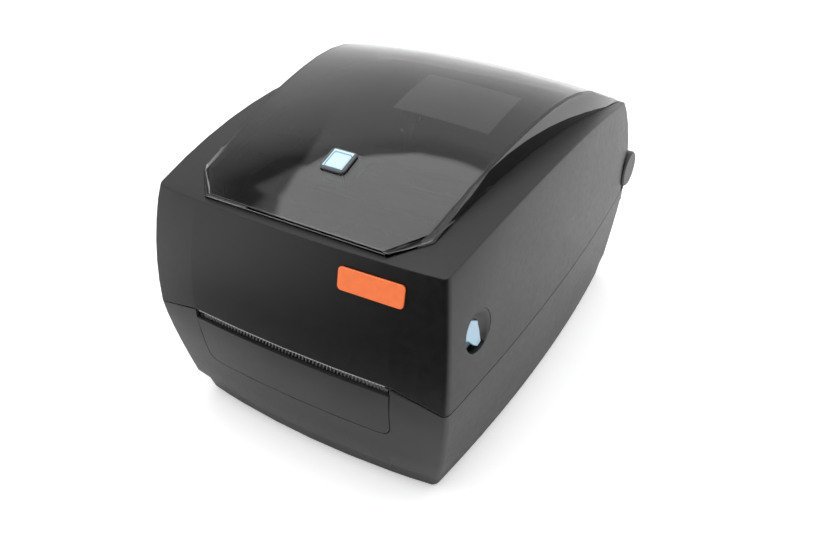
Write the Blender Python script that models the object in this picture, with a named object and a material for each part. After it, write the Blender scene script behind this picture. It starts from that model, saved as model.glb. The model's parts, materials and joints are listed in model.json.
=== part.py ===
"""Desktop thermal label printer, built as the separate mouldings and mechanisms it is assembled from.

Every size below is in millimetres; make_part() turns them into metres.
X runs to the printer's right, Y from front to back and Z up. y = 0 is the cover's top front corner,
and the root empty moves the finished printer so that its footprint is centred on the origin.
"""
import math

import bmesh
import bpy
from mathutils import Matrix, Vector

MM = 0.001

# ---------------------------------------------------------------- driving dimensions
CLEARANCE = 0.35            # running gap between neighbouring pieces
SHELL_WALL = 2.6            # wall of the two large mouldings
SEAM_Z = 76.6               # height of the joint between base and cover
SEAM_GAP = 0.7

# Plan of the case: corner positions and how far each side bows out between its corners.
SEAM_FRONT_X, SEAM_FRONT_Y = 97.9, -8.9
SEAM_REAR_X, SEAM_REAR_Y = 94.1, 279.5
SEAM_SIDE_BOW, SEAM_FRONT_BOW, SEAM_REAR_BOW = 6.2, 5.0, 3.0
CORNER_RADIUS = 4.0

# Cover: what changes between the seam and the shoulder line.
SHOULDER_FRONT_Z = 152.4
SHOULDER_RISE = 14.9        # the shoulder line arches this far above its ends
SHOULDER_FRONT_X, SHOULDER_FRONT_Y = 90.9, 0.0
SHOULDER_REAR_X, SHOULDER_REAR_Y = 93.7, 247.0
SHOULDER_SIDE_BOW, SHOULDER_FRONT_BOW, SHOULDER_REAR_BOW = 7.0, 3.0, 2.0
SHOULDER_ROUND = 1.4
COVER_REAR_Z = 81.0         # the cover's rear wall stops above the base so that it can swing past

# Base: what changes between the seam and the chin, and the stepped plinth below it.
CHIN_Z = 18.4
CHIN_FRONT_X, CHIN_FRONT_Y = 89.6, 0.4
CHIN_REAR_X, CHIN_REAR_Y = 90.1, 270.5
CHIN_SIDE_BOW, CHIN_FRONT_BOW = 7.0, 6.4
PLINTH_Z = 10.5
PLINTH_INSET_X, PLINTH_INSET_Y = 3.4, 5.0
BASE_BOTTOM_Z = 2.0
BOTTOM_INSET_X, BOTTOM_INSET_Y = 5.6, 7.0
FLOOR_THICKNESS = 2.5

# Window: plan, side profile (distance back, height) and crown.
WINDOW_FRONT_Y, WINDOW_FRONT_HALF = 1.5, 56.0
WINDOW_CHAMFER_Y, WINDOW_CHAMFER_HALF = 18.8, 71.8
WINDOW_REAR_Y, WINDOW_REAR_HALF = 242.0, 88.0
WINDOW_WIDEST_Y = 200.0
WINDOW_PROFILE = ((0.0, 155.2), (52.0, 170.4), (100.0, 180.3), (148.0, 184.6),
                  (185.0, 179.4), (216.0, 166.4), (242.0, 155.2))
WINDOW_CROWN = 5.0
WINDOW_WALL = 2.2
WINDOW_DRAFT = 1.6          # how far the window's side walls lean out at their feet
WINDOW_SEAT = 4.0           # width of the ledge that the window rests on

# Label exit, front panel and tear bar.
SLOT_HALF = 65.3
SLOT_TOP_Z = 84.0
PANEL_TOP_Z, PANEL_BOTTOM_Z = 77.6, 45.0
PANEL_BOTTOM_HALF = 63.8
PANEL_CORNER = 8.0
PANEL_GAP = 0.5
TEAR_BAR_TOOTH = 2.6
TEAR_BAR_HEIGHT = 12.0
TEAR_BAR_THICKNESS = 1.2
TEAR_BAR_TOP_Z = 79.6
TEAR_BAR_BITE = 1.6         # depth of the cuts between its teeth

# Hinge of the cover.
HINGE_SETBACK = 7.0         # from the case's rear corner forward to the hinge's axis
HINGE_Y, HINGE_Z = SEAM_REAR_Y - HINGE_SETBACK, 92.0
KNUCKLE_RADIUS, KNUCKLE_WIDTH, KNUCKLE_FACE_X = 13.0, 8.0, 97.6
HINGE_PIN_RADIUS = 2.5
HINGE_BORE_END = KNUCKLE_FACE_X - 2.0
HINGE_NECK_ROOT = 14.0
HINGE_NECK_FRONT, HINGE_NECK_REAR = 7.0, 6.0   # how far the neck reaches either side of the axis
HINGE_LUG_RADIUS, HINGE_LUG_WIDTH = 6.0, 8.6
HINGE_RUNNING_GAP = 0.8

# Platen, gears and motor.
PLATEN_Y, PLATEN_Z = 4.0, 73.0
PLATEN_RADIUS = 8.0
PLATEN_SHAFT_RADIUS = 4.0
BUSH_RADIUS, BUSH_INNER_LIP, BUSH_OUTER_LIP = 6.4, 1.5, 1.0
PLATEN_END_GAP = 1.5
GEAR_MODULE = 1.0
GEAR_WIDTH = 5.0
TOOTH_ROOT, TOOTH_TIP = -1.15, 0.85             # from the pitch line, in modules
ROOT_SHARE, TIP_SHARE = 0.33, 0.13              # half a tooth's width there, in pitches
GEAR_STANDOFF = 8.5         # from the chassis's outer face to the middle of the gears
PLATEN_TEETH, IDLER_TEETH, PINION_TEETH = 20, 28, 12
GEAR_CENTRE_SLACK = 0.15
MOTOR_Y, MOTOR_Z = 28.0, 38.5
MOTOR_SIZE, MOTOR_LENGTH, MOTOR_BEVEL = 35.0, 22.0, 4.0
MOTOR_SHAFT_RADIUS = 2.5

# Chassis that carries platen, gears and motor.
CHASSIS_HALF = 62.0
CHASSIS_PLATE = 3.0
GEAR_X = -(CHASSIS_HALF + GEAR_STANDOFF)
PLATEN_HALF = CHASSIS_HALF - CHASSIS_PLATE - BUSH_INNER_LIP - PLATEN_END_GAP
CHASSIS_FRONT_Y, CHASSIS_REAR_Y = -4.5, 48.0
CHASSIS_TOP_Z, CHASSIS_BAR_Z = 83.0, 59.0
CHASSIS_NOSE_Z, CHASSIS_HEEL_Y, CHASSIS_HEEL_Z = 52.0, 9.5, 38.0
CHASSIS_SLOPE_Y, CHASSIS_TAIL_Z = 20.0, 68.0
BED_FRONT_Y, BED_Z, BED_THICKNESS = 16.0, 70.5, 4.0
SENSOR_Y, SENSOR_WIDTH, SENSOR_DEPTH = 25.0, 14.0, 10.0

# Label bay.
DECK_Z, DECK_THICKNESS, DECK_FRONT_Y = 62.0, 2.5, 50.0
WELL_HALF, WELL_FRONT_Y, WELL_REAR_Y, WELL_FLOOR_Z = 60.0, 84.0, 222.0, 29.0
WELL_WALL = 2.2
GUIDE_Y = 152.0
GUIDE_PLATE, GUIDE_WIDTH, GUIDE_TOP_Z = 3.0, 40.0, 104.0
GUIDE_SIDE_GAP = 3.0
GUIDE_OPEN_X = WELL_HALF - GUIDE_SIDE_GAP - GUIDE_PLATE
GUIDE_SHOULDER_Z, GUIDE_TAPER = 70.0, 8.0
WELL_SLOPE, WELL_KNEE_Z, WELL_LIP = 24.0, 50.0, 3.0
WELL_POST_RADIUS = 2.4
GUIDE_HUB_RADIUS, GUIDE_HUB_LENGTH, GUIDE_HUB_Z = 12.0, 7.0, 90.0
RACK_HEIGHT, RACK_WIDTH = 4.0, 6.0
RACK_MODULE, RACK_PINION_TEETH = 1.0, 16
SENSOR_TRAVEL = 44.0

# Print head and ribbon module under the cover.
HEAD_HALF, HEAD_DEPTH, HEAD_THICKNESS = PLATEN_HALF - 1.0, 22.0, 3.0
HEAD_PIVOT_Y, HEAD_PIVOT_Z = 30.0, 93.0
HEAD_PIN_RADIUS = 1.8
FIN_PITCH, FIN_THICKNESS, FIN_HEIGHT, FIN_COUNT = 4.0, 1.6, 6.0, 5
RIBBON_PLATE_X, RIBBON_PLATE = CHASSIS_HALF, 3.0
RIBBON_FRONT_Y, RIBBON_FOOT_Z, RIBBON_TOP_Z = 10.0, 84.5, 146.0
RIBBON_REACH = 20.0         # frame beyond the supply spindle's axis
RIBBON_SHOULDER = 13.0      # frame above the head's pivot at its front edge
RIBBON_TAPER_FRONT, RIBBON_TAPER_REAR = 22.0, 16.0      # how far its top edge stops short
RIBBON_POST, RIBBON_POST_OUT, RIBBON_POST_SPREAD = 7.0, 16.0, 6.0
SUPPLY_Y, SUPPLY_Z = 112.0, 118.0
TAKEUP_Y, TAKEUP_Z = 66.0, 128.0
SPINDLE_RADIUS, SPINDLE_FLANGE_RADIUS, SPINDLE_PIVOT_RADIUS = 7.0, 13.0, 3.0
SPINDLE_FLANGE, SPINDLE_SIDE_GAP = 2.0, 6.5

# Latch levers, feed button and badge.
LATCH_HOLE_RADIUS, LATCH_Y, LATCH_Z = 12.2, 21.0, 112.0
LATCH_PIVOT_Z, LATCH_SHAFT_RADIUS = 139.0, 2.5
LATCH_ARM_X, LATCH_ARM_PLATE = 87.0, 3.0
LATCH_ARM_HALF, LATCH_NOSE, LATCH_NOSE_HEIGHT = 5.0, 4.5, 2.5
LATCH_TAB_DEPTH, LATCH_TAB_LAP = 2.6, 0.7       # the tab's thickness, and its edge behind the hole's
LATCH_CATCH_Z, LATCH_CATCH_DEPTH = 70.0, 6.6
LATCH_CATCH_GAP = 0.9       # the nose stops this far short of the catch
LATCH_BRACKET_X, LATCH_BRACKET_PLATE, LATCH_BRACKET_HALF = 80.0, 3.0, 6.0
TAB_LOW_ANGLE, TAB_HIGH_ANGLE = -54.0, 80.0     # where the tab's straight edge meets the hole
SCOOP_GAP_ANGLE, SCOOP_FLOOR, SCOOP_RIM = 4.0, 1.2, 0.4
BUTTON_Y, BUTTON_SIZE, BEZEL_SIZE = 45.3, 11.0, 16.4
BUTTON_WELL = 9.0           # depth of the bezel's skirt, on whose foot the switch board sits
BUTTON_LENGTH = 7.2
INNER_LABEL = (2.0, 62.0, 98.0, 140.0)      # left, right, front and rear edges
BADGE_X, BADGE_Z, BADGE_LENGTH, BADGE_HEIGHT = 52.7, 138.4, 37.2, 12.6
BADGE_CORNER, BADGE_FACE, BADGE_BEVEL = 2.2, 1.6, 0.4

# Rear panel.
SWITCH_X, SWITCH_Z, SWITCH_HALF_X, SWITCH_HALF_Z = 62.0, 42.0, 7.5, 11.0
SWITCH_WALL, SWITCH_DEPTH = 1.6, 12.0
ROCKER_SWING = 14.0
ROCKER_PIVOT, ROCKER_END_GAP = 4.0, 3.4         # behind the wall's face; short of the frame's ends
INLET_X, INLET_HALF, USB_X, USB_HALF = 38.0, 5.0, 8.0, 6.2
INLET_RADIUS, INLET_PIN_RADIUS, INLET_DEPTH = 3.4, 1.0, 10.0
USB_WALL, USB_TONGUE, USB_DEPTH = 1.2, 1.6, 9.0
BOARD_Z, BOARD_THICKNESS, BOARD_HALF = 10.0, 1.6, 60.0
PORT_HALF_Z = 5.5
PORT_Z = BOARD_Z + BOARD_THICKNESS + CLEARANCE + PORT_HALF_Z
BOARD_FRONT_Y, BOARD_REAR_Y = 96.0, 256.0
FLOOR_TOP = BASE_BOTTOM_Z + 0.5 + FLOOR_THICKNESS
FANFOLD_HALF, FANFOLD_Z, FANFOLD_HEIGHT = 56.0, 68.8, 5.6

FOOT_RADIUS, FOOT_HEIGHT = 8.0, 2.2
FOOT_X, FOOT_FRONT_Y, FOOT_REAR_Y = 66.0, 32.0, 246.0
BOARD_POST_RADIUS, BOARD_POST_INSET = 3.5, 5.0
FAR = 120.0                 # beyond every face that a cutter has to pass
CENTRE_Y = ((SEAM_FRONT_Y - SEAM_FRONT_BOW) + (HINGE_Y + KNUCKLE_RADIUS)) / 2


# ---------------------------------------------------------------- materials and objects
def finish(name, colour, roughness, metallic=0.0, transmission=0.0):
    """A Principled material for one kind of surface."""
    material = bpy.data.materials.get(name) or bpy.data.materials.new(name)
    material.use_nodes = True
    shader = material.node_tree.nodes["Principled BSDF"]
    shader.inputs["Base Color"].default_value = (*colour, 1.0)
    shader.inputs["Roughness"].default_value = roughness
    shader.inputs["Metallic"].default_value = metallic
    shader.inputs["Transmission Weight"].default_value = transmission
    return material


def make_part(name, bm, material=None, origin=(0.0, 0.0, 0.0), tilt=None):
    """Turn a bmesh in millimetres into an object whose own origin lies at `origin`."""
    if tilt is not None:
        bmesh.ops.transform(bm, matrix=tilt, verts=bm.verts)
    bmesh.ops.translate(bm, vec=-Vector(origin), verts=bm.verts)
    bmesh.ops.scale(bm, vec=(MM, MM, MM), verts=bm.verts)
    bmesh.ops.recalc_face_normals(bm, faces=bm.faces)
    mesh = bpy.data.meshes.new(name)
    bm.to_mesh(mesh)
    bm.free()
    if material is not None:
        mesh.materials.append(material)
        mesh.shade_smooth()
        mesh.set_sharp_from_angle(angle=math.radians(32.0))
    part = bpy.data.objects.new(name, mesh)
    part.location = Vector(origin) * MM
    bpy.context.scene.collection.objects.link(part)
    part.parent = ROOT
    return part


def combine(part, operation, bm, tilt=None):
    """Cut a shape out of a part, join it on or keep what they share."""
    tool = make_part(f"{part.name}_{operation.lower()}_{len(part.modifiers)}", bm, tilt=tilt)
    tool.hide_render = True
    tool.display_type = "WIRE"
    modifier = part.modifiers.new(operation.title(), "BOOLEAN")
    modifier.operation = operation
    modifier.object = tool


def cut(part, bm, tilt=None):
    combine(part, "DIFFERENCE", bm, tilt)


def fuse(part, bm, tilt=None):
    combine(part, "UNION", bm, tilt)


# ---------------------------------------------------------------- shapes
def loft(rings, closed=False):
    """Skin between rings of equal length, capped at both ends or closed back on the first ring."""
    bm = bmesh.new()
    rows = [[bm.verts.new(point) for point in ring] for ring in rings]
    pairs = list(zip(rows, rows[1:]))
    if closed:
        pairs.append((rows[-1], rows[0]))
    else:
        bm.faces.new(rows[0])
        bm.faces.new(rows[-1])
    for first, second in pairs:
        for i, corner in enumerate(first):
            j = (i + 1) % len(first)
            bm.faces.new((corner, first[j], second[j], second[i]))
    return bm


def on_axis(axis, along, u, v):
    """A point from its place along an axis and its two coordinates across it."""
    return {"X": (along, u, v), "Y": (u, along, v), "Z": (u, v, along)}[axis]


def prism(outline, axis, start, end):
    """An outline across an axis, extruded along it."""
    return loft([[on_axis(axis, along, u, v) for u, v in outline] for along in (start, end)])


def box(low, high):
    (x0, y0, z0), (x1, y1, z1) = low, high
    return prism([(x0, y0), (x1, y0), (x1, y1), (x0, y1)], "Z", z0, z1)


def circle(centre, radius, segments, phase=0.0):
    turn = [phase + 2 * math.pi * i / segments for i in range(segments)]
    return [(centre[0] + radius * math.cos(a), centre[1] + radius * math.sin(a)) for a in turn]


def turned(axis, centre, profile, segments=24, closed=False):
    """Revolve (place along the axis, radius) pairs about an axis through `centre`."""
    return loft([[on_axis(axis, along, u, v) for u, v in circle(centre, radius, segments)]
                 for along, radius in profile], closed)


def rod(axis, centre, start, end, radius, segments=16):
    return turned(axis, centre, [(start, radius), (end, radius)], segments)


def tube(axis, centre, start, end, outer, inner, segments=24):
    profile = ((start, outer), (end, outer), (end, inner), (start, inner))
    return turned(axis, centre, profile, segments, closed=True)


TOOTH = ((TOOTH_ROOT, -ROOT_SHARE), (TOOTH_TIP, -TIP_SHARE), (TOOTH_TIP, TIP_SHARE), (TOOTH_ROOT, ROOT_SHARE))


def gear_outline(centre, teeth, module, phase):
    """Straight-flanked teeth, a little thinner than half the pitch so that the mesh has backlash."""
    pitch_radius = teeth * module / 2
    outline = []
    for tooth in range(teeth):
        middle = phase + 2 * math.pi * tooth / teeth
        for height, share in TOOTH:
            radius = pitch_radius + height * module
            angle = middle + share * 2 * math.pi / teeth
            outline.append((centre[0] + radius * math.cos(angle), centre[1] + radius * math.sin(angle)))
    return outline


def meshing_phase(driver_phase, driver_teeth, driven_teeth, direction):
    """Phase of a driven gear whose tooth gaps meet the driver's teeth along `direction`."""
    offset = (driver_phase - direction) * driver_teeth / (2 * math.pi)
    return direction + math.pi - (offset + 0.5) * 2 * math.pi / driven_teeth


def gear(axis, centre, teeth, module, phase, start, end, bore):
    outline = gear_outline(centre, teeth, module, phase)
    hole = circle(centre, bore, len(outline), phase - ROOT_SHARE * 2 * math.pi / teeth)
    rings = [(start, outline), (end, outline), (end, hole), (start, hole)]
    return loft([[on_axis(axis, along, u, v) for u, v in points] for along, points in rings], closed=True)


def rounded_rectangle(half_x, half_y, radius, steps=3):
    points = []
    for quarter in range(4):
        sign_x, sign_y = ((1, 1), (-1, 1), (-1, -1), (1, -1))[quarter]
        for step in range(steps + 1):
            angle = math.pi / 2 * (quarter + step / steps)
            points.append((sign_x * (half_x - radius) + radius * math.cos(angle),
                           sign_y * (half_y - radius) + radius * math.sin(angle)))
    return points


def between(low, high, share):
    return low + (high - low) * share


def at_side(side, near, far):
    """A stretch at one side of the middle (-1 left, 1 right), lowest end first."""
    return sorted((side * near, side * far))


def curve_height(profile, place):
    """Height on a smooth curve through (place, height) points, by Catmull-Rom interpolation."""
    last = len(profile) - 1
    i = max(0, min(last - 1, sum(1 for y, _ in profile[1:] if y < place)))
    (y0, z0), (y1, z1) = profile[i], profile[i + 1]
    before, after = profile[max(i - 1, 0)], profile[min(i + 2, last)]
    slope0 = (z1 - before[1]) / (y1 - before[0])
    slope1 = (after[1] - z0) / (after[0] - y0)
    t = (place - y0) / (y1 - y0)
    span = y1 - y0
    return ((2 * t**3 - 3 * t**2 + 1) * z0 + (t**3 - 2 * t**2 + t) * span * slope0
            + (3 * t**2 - 2 * t**3) * z1 + (t**3 - t**2) * span * slope1)


# ---------------------------------------------------------------- the case's plan
SLOT_SHARE = SLOT_HALF / (SEAM_FRONT_X - CORNER_RADIUS)
FRONT_SHARES = (0.0, SLOT_SHARE / 2, SLOT_SHARE, SLOT_SHARE + 0.011, (SLOT_SHARE + 1.0) / 2)
SIDE_SHARES = tuple(i / 11 for i in range(12))
REAR_SHARES = (0.86, 0.6, 0.3, 0.0)
FILLET_SHARES = (0.25, 0.5, 0.75)


class Plan:
    """One level of the case: bowed front, sides and rear that meet at four rounded corners."""

    def __init__(self, front_x, front_y, rear_x, rear_y, side_bow, front_bow, rear_bow, inset=0.0):
        self.front_x, self.front_y = front_x - inset, front_y + inset
        self.rear_x, self.rear_y = rear_x - inset, rear_y - inset
        self.side_bow, self.front_bow, self.rear_bow = side_bow, front_bow, rear_bow
        self.corner = max(CORNER_RADIUS - inset, 1.0)

    def front_at(self, x):
        return self.front_y - self.front_bow * (1 - (x / self.front_x) ** 2)

    def rear_at(self, x):
        return self.rear_y + self.rear_bow * (1 - (x / self.rear_x) ** 2)

    def side_at(self, y):
        share = (y - self.front_y) / (self.rear_y - self.front_y)
        return between(self.front_x, self.rear_x, share) + self.side_bow * 4 * share * (1 - share)

    def half(self):
        """Right half of the outline from the front's middle to the rear's middle."""
        r = self.corner
        points = [((self.front_x - r) * share, None) for share in FRONT_SHARES]
        points = [(x, self.front_at(x)) for x, _ in points]
        start, finish_y = self.front_y + r, self.rear_y - r
        points += fillet((self.front_x - r, self.front_at(self.front_x - r)), (self.front_x, self.front_y),
                         (self.side_at(start), start))
        sides = [between(start, finish_y, share) for share in SIDE_SHARES]
        points += [(self.side_at(y), y) for y in sides]
        points += fillet((self.side_at(finish_y), finish_y), (self.rear_x, self.rear_y),
                         (self.rear_x - r, self.rear_at(self.rear_x - r)))
        points += [((self.rear_x - r) * share, self.rear_at((self.rear_x - r) * share))
                   for share in (1.0,) + REAR_SHARES]
        return points


def fillet(start, corner, end):
    """Points between two ends of a rounded corner."""
    return [((1 - t) ** 2 * start[0] + 2 * t * (1 - t) * corner[0] + t * t * end[0],
             (1 - t) ** 2 * start[1] + 2 * t * (1 - t) * corner[1] + t * t * end[1])
            for t in FILLET_SHARES]


def both_halves(half):
    """Close a right half, which starts and ends on the middle line, into a whole outline."""
    return half + [(-x, *rest) for x, *rest in reversed(half[1:-1])]


def cover_plan(share, inset=0.0):
    """Plan of the cover at a share of the way from the seam (0) to the shoulder line (1)."""
    lean = share * share
    return Plan(between(SEAM_FRONT_X, SHOULDER_FRONT_X, lean), between(SEAM_FRONT_Y, SHOULDER_FRONT_Y, lean),
                between(SEAM_REAR_X, SHOULDER_REAR_X, lean), between(SEAM_REAR_Y, SHOULDER_REAR_Y, lean),
                between(SEAM_SIDE_BOW, SHOULDER_SIDE_BOW, share),
                between(SEAM_FRONT_BOW, SHOULDER_FRONT_BOW, share),
                between(SEAM_REAR_BOW, SHOULDER_REAR_BOW, share), inset)


def shoulder_z(y):
    """Height of the shoulder line, an arch from the cover's front to its rear."""
    share = (y - SHOULDER_FRONT_Y) / (SHOULDER_REAR_Y - SHOULDER_FRONT_Y)
    return SHOULDER_FRONT_Z + SHOULDER_RISE * 4 * share * (1 - share)


def seam_z(x, y):
    """Lower edge of the cover: lifted over the label exit at the front and above the rear wall."""
    if y < SEAM_FRONT_Y:
        ramp = min(1.0, (SEAM_FRONT_X - abs(x)) / (SEAM_FRONT_X - SLOT_HALF - 1.0))
        return between(SEAM_Z, SLOT_TOP_Z, ramp)
    return COVER_REAR_Z if y > SEAM_REAR_Y - CORNER_RADIUS / 2 else SEAM_Z


def base_plan(z, inset=0.0):
    """Plan of the base at a height between its bottom edge and the seam."""
    share = min(1.0, max(0.0, (SEAM_Z - z) / (SEAM_Z - CHIN_Z)))
    lean = share ** 1.3
    step = min(1.0, max(0.0, (CHIN_Z - z) / (CHIN_Z - PLINTH_Z)))
    foot = min(1.0, max(0.0, (PLINTH_Z - z) / (PLINTH_Z - BASE_BOTTOM_Z)))
    shrink_x = PLINTH_INSET_X * step + (BOTTOM_INSET_X - PLINTH_INSET_X) * foot
    shrink_y = PLINTH_INSET_Y * step + (BOTTOM_INSET_Y - PLINTH_INSET_Y) * foot
    return Plan(between(SEAM_FRONT_X, CHIN_FRONT_X, lean) - shrink_x,
                between(SEAM_FRONT_Y, CHIN_FRONT_Y, lean) + shrink_y,
                between(SEAM_REAR_X, CHIN_REAR_X, lean) - shrink_x / 2,
                between(SEAM_REAR_Y, CHIN_REAR_Y, lean) - shrink_y / 2,
                between(SEAM_SIDE_BOW, CHIN_SIDE_BOW, share), between(SEAM_FRONT_BOW, CHIN_FRONT_BOW, share),
                SEAM_REAR_BOW, inset)


# ---------------------------------------------------------------- the window's shape
def window_half(y):
    """Half width of the window at a distance back."""
    if y < WINDOW_CHAMFER_Y:
        share = (y - WINDOW_FRONT_Y) / (WINDOW_CHAMFER_Y - WINDOW_FRONT_Y)
        return between(WINDOW_FRONT_HALF, WINDOW_CHAMFER_HALF, share)
    share = min(1.0, (y - WINDOW_CHAMFER_Y) / (WINDOW_WIDEST_Y - WINDOW_CHAMFER_Y))
    return between(WINDOW_CHAMFER_HALF, WINDOW_REAR_HALF, share)


def window_z(x, y, half=None):
    """Height of the window's top, crowned across its width once it has left the front edge."""
    half = half or window_half(y)
    rise = min(1.0, max(0.0, (y - WINDOW_CHAMFER_Y) / (WINDOW_WIDEST_Y / 2)))
    fall = min(1.0, max(0.0, (WINDOW_REAR_Y - y) / (WINDOW_REAR_Y - WINDOW_WIDEST_Y)))
    crown = WINDOW_CROWN * rise * fall
    return curve_height(WINDOW_PROFILE, y) + crown * (1 - (x / half) ** 2)


def window_opening(drop, margin):
    """Edge of the hole under the window, point for point like the shoulder ring around it."""
    front, rear = WINDOW_FRONT_Y + margin, WINDOW_REAR_Y - margin
    corner = (window_half(WINDOW_CHAMFER_Y) - margin, WINDOW_CHAMFER_Y + margin / 2)
    half = [(share * (WINDOW_FRONT_HALF - margin / 2), front) for share in FRONT_SHARES]
    half += [(between(WINDOW_FRONT_HALF - margin / 2, corner[0], t), between(front, corner[1], t))
             for t in FILLET_SHARES]
    sides = [between(corner[1], rear - 2.0, share) for share in SIDE_SHARES]
    half += [(window_half(y) - margin, y) for y in sides]
    last = window_half(rear) - margin
    half += fillet((last, rear - 2.0), (last, rear), (last - 2.0, rear))
    half += [((last - 2.0) * share, rear) for share in (1.0,) + REAR_SHARES]
    return [(x, y, shoulder_z(y) - drop) for x, y in both_halves(half)]


def build_window(smoke):
    """Smoked dome: one thin sheet whose side walls stand on the cover's shoulders."""
    stations = [WINDOW_FRONT_Y, (WINDOW_FRONT_Y + WINDOW_CHAMFER_Y) / 2]
    stations += [between(WINDOW_CHAMFER_Y, WINDOW_REAR_Y, i / 13) for i in range(14)]
    across = (1.0, 0.985, 0.8, 0.5, 0.2, -0.2, -0.5, -0.8, -0.985, -1.0)
    edge_round = 0.9

    def section(y, wall):
        half = window_half(y) - wall
        foot = shoulder_z(y) + CLEARANCE
        row = [(half + WINDOW_DRAFT, y, foot)]
        for share in across:
            sink = edge_round if abs(share) == 1.0 else 0.0
            top = window_z(share * half, y, half) - wall - sink
            row.append((share * half, y, max(top, foot + CLEARANCE)))
        return row + [(-half - WINDOW_DRAFT, y, foot)]

    outer = [[(x, y, shoulder_z(y) + CLEARANCE) for x, y, _ in section(stations[0], 0.0)]]
    outer += [section(y, 0.0) for y in stations]
    outer += [[(x, y, shoulder_z(y) + CLEARANCE) for x, y, _ in section(stations[-1], 0.0)]]
    first, last = stations[0] + WINDOW_WALL, stations[-1] - WINDOW_WALL
    inner_stations = [min(max(y, first), last) if y in (stations[0], stations[-1]) else y for y in stations]
    inner = [[(x, y, shoulder_z(y) + CLEARANCE) for x, y, _ in section(first, WINDOW_WALL)]]
    inner += [section(y, WINDOW_WALL) for y in inner_stations]
    inner += [[(x, y, shoulder_z(y) + CLEARANCE) for x, y, _ in section(last, WINDOW_WALL)]]

    bm = bmesh.new()
    sheets = [[[bm.verts.new(point) for point in row] for row in sheet] for sheet in (outer, inner)]
    rows, columns = len(outer), len(outer[0])
    for sheet in sheets:
        for r in range(rows - 1):
            for c in range(columns - 1):
                quad = (sheet[r][c], sheet[r][c + 1], sheet[r + 1][c + 1], sheet[r + 1][c])
                bm.faces.new(quad)
    rim = [(0, c) for c in range(columns)] + [(r, columns - 1) for r in range(1, rows)]
    rim += [(rows - 1, c) for c in range(columns - 2, -1, -1)] + [(r, 0) for r in range(rows - 2, 0, -1)]
    for (r0, c0), (r1, c1) in zip(rim, rim[1:] + rim[:1]):
        bm.faces.new((sheets[0][r0][c0], sheets[0][r1][c1], sheets[1][r1][c1], sheets[1][r0][c0]))
    bmesh.ops.remove_doubles(bm, verts=bm.verts, dist=0.001)
    return make_part("window", bm, smoke)


def button_frame():
    """Places the feed button's own axes on the sloping window."""
    slope = (window_z(0, BUTTON_Y + 1) - window_z(0, BUTTON_Y - 1)) / 2
    place = Matrix.Translation((0, BUTTON_Y, window_z(0, BUTTON_Y)))
    return place @ Matrix.Rotation(math.atan(slope), 4, "X")


def badge_frame():
    """Places the badge's own axes (X along it, Z out of the cover) on the cover's leaning front."""
    def skin(x, z):
        share = (z - SEAM_Z) / (shoulder_z(0) - SEAM_Z)
        return Vector((x, cover_plan(share).front_at(x), z))
    along = (skin(BADGE_X + 1, BADGE_Z) - skin(BADGE_X - 1, BADGE_Z)).normalized()
    upward = (skin(BADGE_X, BADGE_Z + 1) - skin(BADGE_X, BADGE_Z - 1)).normalized()
    out = along.cross(upward).normalized()
    turn = Matrix((along, out.cross(along), out)).transposed().to_4x4()
    return Matrix.Translation(skin(BADGE_X, BADGE_Z)) @ turn


# ---------------------------------------------------------------- base body
def panel_outline(gap, top):
    """Front panel seen from the front: slightly tapered, with rounded lower corners."""
    half_top, half_low, low = SLOT_HALF + gap, PANEL_BOTTOM_HALF + gap, PANEL_BOTTOM_Z - gap
    corner = PANEL_CORNER + gap
    right = [(half_top, top), (half_top, PANEL_TOP_Z), (half_low, low + corner)]
    right += fillet(right[-1], (half_low, low), (half_low - corner, low)) + [(half_low - corner, low)]
    return right + [(-x, z) for x, z in reversed(right)]


def base_ring(z, inset, rim=False):
    outline = both_halves(base_plan(z, inset).half())
    if not rim:
        return [(x, y, z) for x, y in outline]
    return [(x, y, (seam_z(x, y) if y < SEAM_FRONT_Y else SEAM_Z) - SEAM_GAP) for x, y in outline]


def rear_wall(x, z):
    """Outer face of the base's rear wall."""
    return base_plan(z).rear_at(x)


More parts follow.
